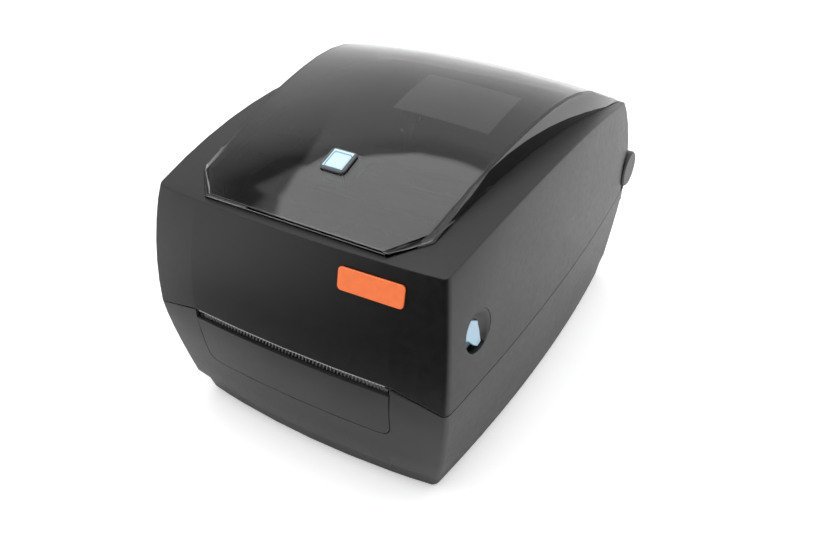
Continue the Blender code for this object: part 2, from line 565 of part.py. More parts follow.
def build_base(plastic):
    top, levels = SEAM_Z - SEAM_GAP, (67.0, 56.0, 44.0, 31.0, CHIN_Z, PLINTH_Z, BASE_BOTTOM_Z)
    inner_levels = (BASE_BOTTOM_Z, CHIN_Z, 40.0, DECK_Z)
    rings = [base_ring(top, 0.0, rim=True)] + [base_ring(z, 0.0) for z in levels]
    rings += [base_ring(z, SHELL_WALL) for z in inner_levels] + [base_ring(top, SHELL_WALL, rim=True)]
    housing = make_part("base_housing", loft(rings, closed=True), plastic)
    panel_back = SEAM_FRONT_Y + 2 * SHELL_WALL
    cut(housing, prism(panel_outline(PANEL_GAP, SLOT_TOP_Z + SHELL_WALL), "Y", -FAR, panel_back))
    for side in (-1, 1):
        neck_y = (HINGE_Y - HINGE_NECK_FRONT, HINGE_Y + HINGE_NECK_REAR)
        inner = KNUCKLE_FACE_X - KNUCKLE_WIDTH
        lower_y = min(neck_y[1], SEAM_REAR_Y - SHELL_WALL / 2)
        low = SEAM_Z - HINGE_NECK_ROOT
        neck = [(neck_y[0], low), (lower_y, low), (neck_y[1], HINGE_Z), (neck_y[0], HINGE_Z)]
        fuse(housing, prism(neck, "X", *at_side(side, inner, SEAM_REAR_X - SEAM_GAP)))
        fuse(housing, turned("X", (HINGE_Y, HINGE_Z), [(side * inner, KNUCKLE_RADIUS),
                                                       (side * (KNUCKLE_FACE_X - 1.0), KNUCKLE_RADIUS),
                                                       (side * KNUCKLE_FACE_X, KNUCKLE_RADIUS - 1.0)], 32))
        cut(housing, rod("X", (HINGE_Y, HINGE_Z), side * (inner - 5.0), side * HINGE_BORE_END,
                         HINGE_PIN_RADIUS + CLEARANCE))
    for x, z, half_x, half_z in ((SWITCH_X, SWITCH_Z, SWITCH_HALF_X, SWITCH_HALF_Z),
                                 (INLET_X, PORT_Z, INLET_HALF, PORT_HALF_Z),
                                 (USB_X, PORT_Z, USB_HALF, PORT_HALF_Z),
                                 (0.0, FANFOLD_Z, FANFOLD_HALF, FANFOLD_HEIGHT / 2 - CLEARANCE)):
        grow_x, grow_z = half_x + CLEARANCE, half_z + CLEARANCE
        cut(housing, box((x - grow_x, SEAM_REAR_Y - 20.0, z - grow_z),
                         (x + grow_x, SEAM_REAR_Y + FAR, z + grow_z)))
    return housing


def build_floor(plastic, rubber):
    low, high = FLOOR_TOP - FLOOR_THICKNESS, FLOOR_TOP
    gap = SHELL_WALL + CLEARANCE
    rings = [[(x, y, z) for x, y, _ in base_ring(BASE_BOTTOM_Z, gap)] for z in (low, high)]
    floor = make_part("bottom_plate", loft(rings), plastic)
    post_x = BOARD_HALF - BOARD_POST_INSET
    for x in (-post_x, post_x):
        for y in (BOARD_FRONT_Y + BOARD_POST_INSET, BOARD_REAR_Y - BOARD_POST_INSET):
            fuse(floor, rod("Z", (x, y), high - 1.0, BOARD_Z - CLEARANCE, BOARD_POST_RADIUS, 12))
    for name, side in (("left", -1), ("right", 1)):
        for end, y in (("front", FOOT_FRONT_Y), ("rear", FOOT_REAR_Y)):
            turn = [(0.0, FOOT_RADIUS - 0.8), (0.8, FOOT_RADIUS), (FOOT_HEIGHT, FOOT_RADIUS)]
            make_part(f"foot_{end}_{name}", turned("Z", (side * FOOT_X, y), turn), rubber)


def build_front(plastic, steel):
    """Front panel, curved with the base, and the toothed bar that tears the label."""
    def band(z):
        plan = base_plan(z)
        places = [between(-SLOT_HALF - PANEL_GAP, SLOT_HALF + PANEL_GAP, i / 12) for i in range(13)]
        outer = [(x, plan.front_at(x), z) for x in places]
        return outer + [(x, plan.front_at(x) + SHELL_WALL, z) for x in reversed(places)]
    levels = [between(PANEL_BOTTOM_Z - PANEL_GAP, PANEL_TOP_Z, i / 4) for i in range(5)]
    panel = make_part("front_panel", loft([band(z) for z in levels]), plastic)
    combine(panel, "INTERSECT", prism(panel_outline(0.0, PANEL_TOP_Z + 1.0), "Y", -FAR, FAR))

    half = SLOT_HALF - 1.0
    count = int(2 * half // TEAR_BAR_TOOTH)
    pitch = 2 * half / count
    low = TEAR_BAR_TOP_Z - TEAR_BAR_HEIGHT
    edge = [(-half + pitch * i / 2, TEAR_BAR_TOP_Z - (0.0 if i % 2 else TEAR_BAR_BITE))
            for i in range(2 * count + 1)]
    outline = [(half, low), (-half, low)] + edge
    front = base_plan(low).front_at(half) + SHELL_WALL + CLEARANCE
    make_part("tear_bar", prism(outline, "Y", front, front + TEAR_BAR_THICKNESS), steel)


def build_chassis(steel, plastic):
    """Two side plates and a cross bar that carry the platen, its gears and the motor."""
    foot = FLOOR_TOP + CLEARANCE
    outline = [(CHASSIS_FRONT_Y, CHASSIS_TOP_Z), (CHASSIS_FRONT_Y, CHASSIS_NOSE_Z),
               (CHASSIS_HEEL_Y, CHASSIS_HEEL_Z), (CHASSIS_HEEL_Y, foot), (CHASSIS_REAR_Y, foot),
               (CHASSIS_REAR_Y, CHASSIS_TAIL_Z), (CHASSIS_SLOPE_Y, CHASSIS_TOP_Z)]
    inner = CHASSIS_HALF - CHASSIS_PLATE
    chassis = make_part("chassis", prism(outline, "X", inner, CHASSIS_HALF), steel)
    fuse(chassis, prism(outline, "X", -CHASSIS_HALF, -inner))
    fuse(chassis, box((-inner - 1.0, CHASSIS_FRONT_Y + 6.0, CHASSIS_BAR_Z),
                      (inner + 1.0, CHASSIS_REAR_Y - 6.0, CHASSIS_BAR_Z + CHASSIS_PLATE)))
    hole = BUSH_RADIUS + CLEARANCE
    past = CHASSIS_HALF + CHASSIS_PLATE
    cut(chassis, rod("X", (PLATEN_Y, PLATEN_Z), -past, past, hole, 24))
    cut(chassis, rod("X", (MOTOR_Y, MOTOR_Z), -past, 0.0, MOTOR_SHAFT_RADIUS + 1.0))
    for side, name in ((-1, "left"), (1, "right")):
        ends = at_side(side, inner - BUSH_INNER_LIP, CHASSIS_HALF + BUSH_OUTER_LIP)
        make_part(f"platen_bush_{name}", tube("X", (PLATEN_Y, PLATEN_Z), *ends, BUSH_RADIUS,
                                              PLATEN_SHAFT_RADIUS + CLEARANCE), plastic)


def idler_centre():
    """Where the idler meshes with both the platen gear and the motor pinion."""
    to_platen = (PLATEN_TEETH + IDLER_TEETH) * GEAR_MODULE / 2 + GEAR_CENTRE_SLACK
    to_motor = (PINION_TEETH + IDLER_TEETH) * GEAR_MODULE / 2 + GEAR_CENTRE_SLACK
    line = Vector((MOTOR_Y - PLATEN_Y, MOTOR_Z - PLATEN_Z))
    along = (to_platen ** 2 - to_motor ** 2 + line.length ** 2) / (2 * line.length)
    aside = math.sqrt(to_platen ** 2 - along ** 2)
    forward = line.normalized()
    return Vector((PLATEN_Y, PLATEN_Z)) + forward * along + Vector((-forward.y, forward.x)) * aside


def build_drive(rubber, steel, nylon, black):
    platen, motor, idler = (PLATEN_Y, PLATEN_Z), (MOTOR_Y, MOTOR_Z), tuple(idler_centre())
    half_gear = GEAR_WIDTH / 2
    start, end = GEAR_X - half_gear, GEAR_X + half_gear
    shaft_end = CHASSIS_HALF + BUSH_OUTER_LIP + 3.0
    make_part("platen_shaft", turned("X", platen, [(start - 1.5, PLATEN_SHAFT_RADIUS - 0.6),
                                                   (start - 0.9, PLATEN_SHAFT_RADIUS),
                                                   (shaft_end - 0.6, PLATEN_SHAFT_RADIUS),
                                                   (shaft_end, PLATEN_SHAFT_RADIUS - 0.6)]), steel,
              origin=(0.0, *platen))
    make_part("platen_roller", tube("X", platen, -PLATEN_HALF, PLATEN_HALF, PLATEN_RADIUS,
                                    PLATEN_SHAFT_RADIUS + CLEARANCE, 32), rubber, origin=(0.0, *platen))
    to_idler = math.atan2(idler[1] - platen[1], idler[0] - platen[0])
    to_motor = math.atan2(motor[1] - idler[1], motor[0] - idler[0])
    idler_phase = meshing_phase(to_idler, PLATEN_TEETH, IDLER_TEETH, to_idler)
    pinion_phase = meshing_phase(idler_phase, IDLER_TEETH, PINION_TEETH, to_motor)
    make_part("platen_gear", gear("X", platen, PLATEN_TEETH, GEAR_MODULE, to_idler, start, end,
                                  PLATEN_SHAFT_RADIUS + CLEARANCE), nylon, origin=(GEAR_X, *platen))
    make_part("idler_gear", gear("X", idler, IDLER_TEETH, GEAR_MODULE, idler_phase, start, end,
                                 MOTOR_SHAFT_RADIUS + CLEARANCE), nylon, origin=(GEAR_X, *idler))
    stud = [(start - 1.5, MOTOR_SHAFT_RADIUS), (end + 1.0, MOTOR_SHAFT_RADIUS),
            (end + 1.0, 2 * MOTOR_SHAFT_RADIUS), (-CHASSIS_HALF - CLEARANCE, 2 * MOTOR_SHAFT_RADIUS)]
    make_part("idler_stud", turned("X", idler, stud), steel)
    outline = gear_outline(motor, PINION_TEETH, GEAR_MODULE, pinion_phase)
    shank = circle(motor, MOTOR_SHAFT_RADIUS, len(outline), pinion_phase)
    shank_end = -CHASSIS_HALF + CHASSIS_PLATE + CLEARANCE
    rings = [(start, outline), (end, outline), (end, shank), (shank_end, shank)]
    make_part("motor_pinion", loft([[(x, y, z) for y, z in points] for x, points in rings]), steel,
              origin=(GEAR_X, *motor))
    face, half = shank_end + CLEARANCE, MOTOR_SIZE / 2
    outline = [(MOTOR_Y + u, MOTOR_Z + v) for u, v in rounded_rectangle(half, half, MOTOR_BEVEL, 1)]
    make_part("stepper_motor", prism(outline, "X", face, face + MOTOR_LENGTH), black)


def build_label_path(plastic, black, white):
    """Bed that the label slides over, with the gap sensor in its slot, the deck and the roll well."""
    inner = CHASSIS_HALF - CHASSIS_PLATE - CLEARANCE
    bed_top = BED_Z + BED_THICKNESS
    bed = make_part("label_bed", box((-inner, BED_FRONT_Y, BED_Z), (inner, CHASSIS_REAR_Y, bed_top)), plastic)
    half_x, half_y = SENSOR_WIDTH / 2, SENSOR_DEPTH / 2
    slot = SENSOR_TRAVEL + half_x + CLEARANCE
    cut(bed, box((-slot, SENSOR_Y - half_y - CLEARANCE, BED_Z - 5.0),
                 (slot, SENSOR_Y + half_y + CLEARANCE, bed_top + 5.0)))
    sensor = box((-half_x, SENSOR_Y - half_y, BED_Z - 2.0), (half_x, SENSOR_Y + half_y, bed_top + 1.0))
    make_part("media_sensor", sensor, black, origin=(0.0, SENSOR_Y, BED_Z))

    plan = base_plan(DECK_Z)
    gap = SHELL_WALL + 2 * CLEARANCE
    steps = [between(DECK_FRONT_Y, plan.rear_y - gap, i / 8) for i in range(9)]
    right = [(plan.side_at(y) - gap, y) for y in steps]
    deck = make_part("deck", prism(right + [(-x, y) for x, y in reversed(right)], "Z", DECK_Z,
                                   DECK_Z + DECK_THICKNESS), plastic)
    gap = WELL_WALL + CLEARANCE
    below, above = DECK_Z - 5.0, DECK_Z + 2 * DECK_THICKNESS
    cut(deck, box((-WELL_HALF - gap, WELL_FRONT_Y - gap, below), (WELL_HALF + gap, WELL_REAR_Y + gap, above)))
    for side in (-1, 1):
        ends = at_side(side, KNUCKLE_FACE_X - KNUCKLE_WIDTH - 1.0, FAR)
        cut(deck, box((ends[0], HINGE_Y - HINGE_NECK_FRONT - 1.0, below), (ends[1], HINGE_Y + FAR, above)))

    def trough(grow):
        low, front, back = WELL_FLOOR_Z - grow, WELL_FRONT_Y - grow, WELL_REAR_Y + grow
        top = DECK_Z + DECK_THICKNESS + (0.0 if grow else WELL_LIP)
        return [(front, top), (front, WELL_KNEE_Z), (front + WELL_SLOPE, low), (back - WELL_SLOPE, low),
                (back, WELL_KNEE_Z), (back, top)]
    wide = WELL_HALF + WELL_WALL
    well = make_part("roll_well", prism(trough(WELL_WALL), "X", -wide, wide), plastic)
    cut(well, prism(trough(0.0), "X", -WELL_HALF, WELL_HALF))
    fuse(well, rod("Z", (0.0, GUIDE_Y), WELL_FLOOR_Z - 1.0, WELL_FLOOR_Z + RACK_HEIGHT + 4 * CLEARANCE,
                   WELL_POST_RADIUS))

    rack_z = WELL_FLOOR_Z + CLEARANCE
    pitch_radius = RACK_PINION_TEETH * RACK_MODULE / 2
    make_part("guide_pinion", gear("Z", (0.0, GUIDE_Y), RACK_PINION_TEETH, RACK_MODULE, 0.0, rack_z,
                                   rack_z + RACK_HEIGHT, WELL_POST_RADIUS + CLEARANCE), white,
              origin=(0.0, GUIDE_Y, rack_z))
    for name, side in (("guide_left", -1), ("guide_right", 1)):
        build_guide(name, side, rack_z, pitch_radius + GEAR_CENTRE_SLACK, plastic)


def build_guide(name, side, rack_z, line, plastic):
    """Roll guide: a plate with a hub, and a rack whose pitch line runs `line` beside the pinion's axis."""
    pitch = math.pi * RACK_MODULE
    edge = [((k + 0.5 + share) * pitch, -height) for k in range(-3, int(GUIDE_OPEN_X / pitch))
            for height, share in TOOTH]
    far, near = GUIDE_OPEN_X + GUIDE_PLATE / 2, edge[0][0] - 1.0
    rack = edge + [(far, -TOOTH_ROOT), (far, RACK_WIDTH), (near, RACK_WIDTH), (near, -TOOTH_ROOT)]
    rack = [(side * x, GUIDE_Y + side * (line + v * RACK_MODULE)) for x, v in rack]
    low_y, high_y = GUIDE_Y - GUIDE_WIDTH / 2, GUIDE_Y + GUIDE_WIDTH / 2
    plate = [(low_y, rack_z), (high_y, rack_z), (high_y, GUIDE_SHOULDER_Z),
             (high_y - GUIDE_TAPER, GUIDE_TOP_Z), (low_y + GUIDE_TAPER, GUIDE_TOP_Z),
             (low_y, GUIDE_SHOULDER_Z)]
    ends = at_side(side, GUIDE_OPEN_X, GUIDE_OPEN_X + GUIDE_PLATE)
    guide = make_part(name, prism(plate, "X", *ends), plastic, origin=(side * GUIDE_OPEN_X, GUIDE_Y, rack_z))
    fuse(guide, prism(rack, "Z", rack_z, rack_z + RACK_HEIGHT))
    hub = [(side * (GUIDE_OPEN_X - GUIDE_HUB_LENGTH), GUIDE_HUB_RADIUS - 1.5),
           (side * (GUIDE_OPEN_X + GUIDE_PLATE / 2), GUIDE_HUB_RADIUS)]
    fuse(guide, turned("X", (GUIDE_Y, GUIDE_HUB_Z), hub))
    passage = sorted(GUIDE_Y - side * v for v in (line - 2 * RACK_MODULE, line + RACK_WIDTH + 1.0))
    cut(guide, box((ends[0] - 1.0, passage[0], rack_z - 1.0),
                   (ends[1] + 1.0, passage[1], rack_z + RACK_HEIGHT + 2 * CLEARANCE)))


def build_electronics(green, steel, black, rocker):
    """Main board with its rear sockets, and the power switch."""
    make_part("main_board", box((-BOARD_HALF, BOARD_FRONT_Y, BOARD_Z),
                                (BOARD_HALF, BOARD_REAR_Y, BOARD_Z + BOARD_THICKNESS)), green)
    low, high = PORT_Z - PORT_HALF_Z, PORT_Z + PORT_HALF_Z
    for name, x, half, material in (("usb_socket", USB_X, USB_HALF, steel),
                                    ("dc_inlet", INLET_X, INLET_HALF, black)):
        outside = rear_wall(x, PORT_Z)
        socket = make_part(name, box((x - half, BOARD_REAR_Y - 14.0, low), (x + half, outside - 0.5, high)),
                           material)
        if name == "usb_socket":
            cut(socket, box((x - half + USB_WALL, outside - USB_DEPTH, low + USB_WALL),
                            (x + half - USB_WALL, outside + 5.0, high - USB_WALL)))
            fuse(socket, box((x - half / 2, outside - USB_DEPTH - 1.0, PORT_Z - USB_TONGUE),
                             (x + half / 2, outside - 1.5, PORT_Z + USB_TONGUE)))
        else:
            bottom = outside - INLET_DEPTH
            cut(socket, rod("Y", (x, PORT_Z), bottom, outside + 5.0, INLET_RADIUS, 20))
            fuse(socket, rod("Y", (x, PORT_Z), bottom - 1.0, outside - 2.0, INLET_PIN_RADIUS, 10))
    face = rear_wall(SWITCH_X + SWITCH_HALF_X, SWITCH_Z)
    half_x, half_z = SWITCH_HALF_X, SWITCH_HALF_Z
    frame = make_part("switch_frame", box((SWITCH_X - half_x, face - SWITCH_DEPTH, SWITCH_Z - half_z),
                                          (SWITCH_X + half_x, face + 1.5, SWITCH_Z + half_z)), black)
    half_x, half_z = half_x - SWITCH_WALL, half_z - SWITCH_WALL
    cut(frame, box((SWITCH_X - half_x, face - SWITCH_DEPTH + 3.0, SWITCH_Z - half_z),
                   (SWITCH_X + half_x, face + 5.0, SWITCH_Z + half_z)))
    pivot, reach = Vector((face - ROCKER_PIVOT, SWITCH_Z)), SWITCH_HALF_Z - ROCKER_END_GAP
    upper = [(4.2, 0.0), (5.4, reach), (4.0, reach), (-3.0, 2.2)]
    lower = [(out, -up) for out, up in reversed(upper[1:])]
    turn = Matrix.Rotation(math.radians(-ROCKER_SWING / 2), 2)
    outline = [tuple(pivot + turn @ Vector(point)) for point in lower + upper]
    make_part("power_rocker", prism(outline, "X", SWITCH_X - half_x + 0.5, SWITCH_X + half_x - 0.5), rocker,
              origin=(SWITCH_X, *pivot))


# ---------------------------------------------------------------- cover body
def cover_ring(share, inset=0.0, drop=0.0):
    """Ring of the cover at a share of the way up from its lower edge to the shoulder line."""
    lows = [seam_z(x, y) for x, y in both_halves(cover_plan(0.0).half())]
    plan = cover_plan(share, inset)
    ring = []
    for (x, y), low in zip(both_halves(plan.half()), lows):
        along = (y - plan.front_y) / (plan.rear_y - plan.front_y)
        high = shoulder_z(between(SHOULDER_FRONT_Y, SHOULDER_REAR_Y, along)) - drop
        ring.append((x, y, between(low, high, share)))
    return ring


def build_cover(plastic):
    shares = (0.0, 0.18, 0.36, 0.54, 0.72, 0.88, 1.0)
    rings = [cover_ring(share) for share in shares[:-1]]
    rings += [cover_ring(1.0, SHOULDER_ROUND * (1 - math.cos(a)), SHOULDER_ROUND * (1 - math.sin(a)))
              for a in (0.0, math.pi / 4, math.pi / 2)]
    rings += [window_opening(0.0, WINDOW_SEAT), window_opening(SHELL_WALL, WINDOW_SEAT)]
    rings += [cover_ring(share, SHELL_WALL, SHELL_WALL) for share in shares[::-2]]
    cover = make_part("top_cover", loft(rings, closed=True), plastic)
    for side in (-1, 1):
        outside = side * FAR
        lug_end = side * (KNUCKLE_FACE_X - KNUCKLE_WIDTH - HINGE_RUNNING_GAP)
        axis, bore = (HINGE_Y, HINGE_Z), HINGE_PIN_RADIUS + CLEARANCE
        fuse(cover, rod("X", axis, lug_end - side * HINGE_LUG_WIDTH, lug_end, HINGE_LUG_RADIUS, 24))
        cut(cover, rod("X", axis, lug_end - side * 20.0, outside, bore))
        cut(cover, rod("X", axis, lug_end, outside, KNUCKLE_RADIUS + HINGE_RUNNING_GAP, 32))
        x0, x1 = sorted((lug_end, outside))
        neck_y = HINGE_Y - HINGE_NECK_FRONT - HINGE_RUNNING_GAP
        cut(cover, box((x0, neck_y, DECK_Z), (x1, HINGE_Y + FAR, HINGE_Z)))
        bracket = at_side(side, LATCH_BRACKET_X, LATCH_BRACKET_X + LATCH_BRACKET_PLATE)
        fuse(cover, box((bracket[0], LATCH_Y - LATCH_BRACKET_HALF, LATCH_PIVOT_Z - LATCH_BRACKET_HALF),
                        (bracket[1], LATCH_Y + LATCH_BRACKET_HALF, shoulder_z(LATCH_Y) - SHELL_WALL + 1.0)))
        cut(cover, rod("X", (LATCH_Y, LATCH_PIVOT_Z), side * (LATCH_BRACKET_X - 10.0),
                       side * (LATCH_BRACKET_X + 6.0), LATCH_SHAFT_RADIUS + CLEARANCE))
        scoop, slope = latch_scoop(side)
        fuse(cover, scoop)
        cut(cover, slope)
    return cover


def latch_line(reach):
    """Ends, seen from the side, of the slanting edge between a latch tab and the scoop behind it."""
    return [(LATCH_Y + reach * math.cos(math.radians(a)), LATCH_Z + reach * math.sin(math.radians(a)))
            for a in (TAB_LOW_ANGLE, TAB_HIGH_ANGLE)]


def latch_scoop(side):
    """Block behind the tab, and the slanting round cut that leaves a finger scoop in it."""
    share = (LATCH_Z - SEAM_Z) / (shoulder_z(LATCH_Y) - SEAM_Z)
    skin = cover_plan(share).side_at(LATCH_Y + LATCH_HOLE_RADIUS)
    floor_x = LATCH_ARM_X + LATCH_ARM_PLATE + CLEARANCE
    reach = LATCH_HOLE_RADIUS + SHELL_WALL / 2
    low, high = TAB_LOW_ANGLE + SCOOP_GAP_ANGLE, TAB_HIGH_ANGLE - SCOOP_GAP_ANGLE
    sweep = [math.radians(between(low, high, i / 12)) for i in range(13)]
    segment = [(LATCH_Y + reach * math.cos(a), LATCH_Z + reach * math.sin(a)) for a in sweep]
    block = prism(segment, "X", *at_side(side, floor_x, skin - SHELL_WALL / 2 - 0.6))
    front_y = sum(y for y, _ in latch_line(LATCH_HOLE_RADIUS)) / 2
    rise = (skin - SCOOP_RIM - floor_x - SCOOP_FLOOR) / (LATCH_Y + LATCH_HOLE_RADIUS - front_y)
    rim = circle((LATCH_Y, LATCH_Z), LATCH_HOLE_RADIUS, 32)
    inner = [(side * (floor_x + SCOOP_FLOOR + rise * (y - front_y)), y, z) for y, z in rim]
    return block, loft([inner, [(side * FAR, y, z) for y, z in rim]])


def build_hinge_pins(steel):
    for side, name in ((-1, "left"), (1, "right")):
        outer = HINGE_BORE_END - CLEARANCE
        inner = KNUCKLE_FACE_X - KNUCKLE_WIDTH - HINGE_RUNNING_GAP - HINGE_LUG_WIDTH + CLEARANCE
        pin = rod("X", (HINGE_Y, HINGE_Z), side * inner, side * outer, HINGE_PIN_RADIUS)
        make_part(f"hinge_pin_{name}", pin, steel, origin=(0.0, HINGE_Y, HINGE_Z))


def build_window_fittings(window, grey, blue, green, orange):
    """Feed button with its bezel and switch board in the window, and the plain badge on the front."""
    place = button_frame()
    key, well = BUTTON_SIZE / 2, BUTTON_SIZE / 2 + CLEARANCE
    skirt, flange = well + 1.1, BEZEL_SIZE / 2

    def square(half, z, corner):
        return [(x, y, z) for x, y in rounded_rectangle(half, half, corner)]
    cut(window, prism(rounded_rectangle(skirt + CLEARANCE, skirt + CLEARANCE, 1.6), "Z", -12.0, 6.0), place)
    bezel = [square(flange, CLEARANCE, 2.6), square(flange, 1.0, 2.6), square(flange - 0.4, 1.4, 2.3),
             square(well + 0.3, 1.4, 1.6), square(well, 1.1, 1.3), square(well, -BUTTON_WELL, 1.3),
             square(skirt, -BUTTON_WELL, 1.5), square(skirt, CLEARANCE, 1.5)]
    make_part("button_bezel", loft(bezel, closed=True), grey, tilt=place)
    rings = [square(key, -BUTTON_LENGTH, 1.0), square(key, 0.7, 1.0), square(key - 0.4, 1.0, 0.8)]
    make_part("feed_button", loft(rings), blue, origin=tuple(place.translation), tilt=place)
    top, half = -BUTTON_WELL - CLEARANCE, BUTTON_WELL
    board = make_part("button_board", box((-half, -half, top - BOARD_THICKNESS), (half, half, top)), green,
                      tilt=place)
    fuse(board, turned("Z", (0.0, 0.0), [(top - 0.5, 2.2), (top + 0.9, 2.0)], 12), place)

    def badge(z, inset):
        outline = rounded_rectangle(BADGE_LENGTH / 2 - inset, BADGE_HEIGHT / 2 - inset, BADGE_CORNER - inset)
        return [(x, y, z) for x, y in outline]
    rings = [badge(CLEARANCE + 0.1, 0.0), badge(BADGE_FACE - BADGE_BEVEL, 0.0),
             badge(BADGE_FACE, BADGE_BEVEL)]
    make_part("badge_plate", loft(rings), orange, tilt=badge_frame())


def build_inner_label(paper):
    """Blank label stuck under the window, bent to the window's own curve."""
    left, right, front, back = INNER_LABEL
    across = [between(left, right, i / 4) for i in range(5)]
    stations = [between(front, back, i / 6) for i in range(7)]

    def sheet(depth):
        return [[(x, y, window_z(x, y) - WINDOW_WALL - depth) for x in across] for y in stations]
    glue = CLEARANCE + 0.25
    rings = [upper + lower[::-1] for upper, lower in zip(sheet(glue), sheet(glue + CLEARANCE))]
    make_part("inner_label", loft(rings), paper)


def build_latch(steel, black, blue):
    """Cross shaft with an arm, a finger tab and a nose at each side, and the catches in the base."""
    pivot = (LATCH_Y, LATCH_PIVOT_Z)
    end = LATCH_ARM_X + LATCH_ARM_PLATE + 0.6
    make_part("latch_shaft", rod("X", pivot, -end, end, LATCH_SHAFT_RADIUS), steel, origin=(0.0, *pivot))
    half, tip, hole_low = LATCH_ARM_HALF, LATCH_CATCH_Z - 1.5, LATCH_Z - LATCH_HOLE_RADIUS
    foot, nose_y = tip - LATCH_NOSE_HEIGHT, half / 3 + LATCH_NOSE
    high, waist = LATCH_PIVOT_Z + half, LATCH_PIVOT_Z - 2 * half
    arm = [(-half, high), (half, high), (half + 1.0, waist), (half - 0.5, hole_low),
           (half / 3, tip + LATCH_NOSE), (nose_y, tip), (nose_y, foot), (-half / 2, foot),
           (0.5 - half, hole_low), (-half - 1.0, waist)]
    arm = [(LATCH_Y + y, z) for y, z in arm]
    reach = LATCH_HOLE_RADIUS + LATCH_TAB_LAP
    sweep = [math.radians(between(TAB_HIGH_ANGLE, TAB_LOW_ANGLE + 360.0, i / 12)) for i in range(13)]
    tab = [(LATCH_Y + reach * math.cos(a), LATCH_Z + reach * math.sin(a)) for a in sweep]
    inner = LATCH_ARM_X + LATCH_ARM_PLATE + CLEARANCE
    catch_y = LATCH_Y + nose_y + LATCH_CATCH_GAP
    catch_end = base_plan(LATCH_CATCH_Z).side_at(LATCH_Y) - SHELL_WALL - 2 * CLEARANCE
    for side, name in ((-1, "left"), (1, "right")):
        plate = at_side(side, LATCH_ARM_X, LATCH_ARM_X + LATCH_ARM_PLATE)
        lever = make_part(f"latch_arm_{name}", prism(arm, "X", *plate), black,
                          origin=(side * LATCH_ARM_X, *pivot))
        cut(lever, rod("X", pivot, plate[0] - 5.0, plate[1] + 5.0, LATCH_SHAFT_RADIUS + CLEARANCE))
        make_part(f"latch_tab_{name}", prism(tab, "X", *at_side(side, inner, inner + LATCH_TAB_DEPTH)), blue,
                  origin=(side * inner, *pivot))
        catch_x = at_side(side, LATCH_ARM_X - 2.0, catch_end)
        catch = box((catch_x[0], catch_y, LATCH_CATCH_Z),
                    (catch_x[1], catch_y + LATCH_CATCH_DEPTH, LATCH_CATCH_Z + 3.0))
        make_part(f"latch_catch_{name}", catch, steel)


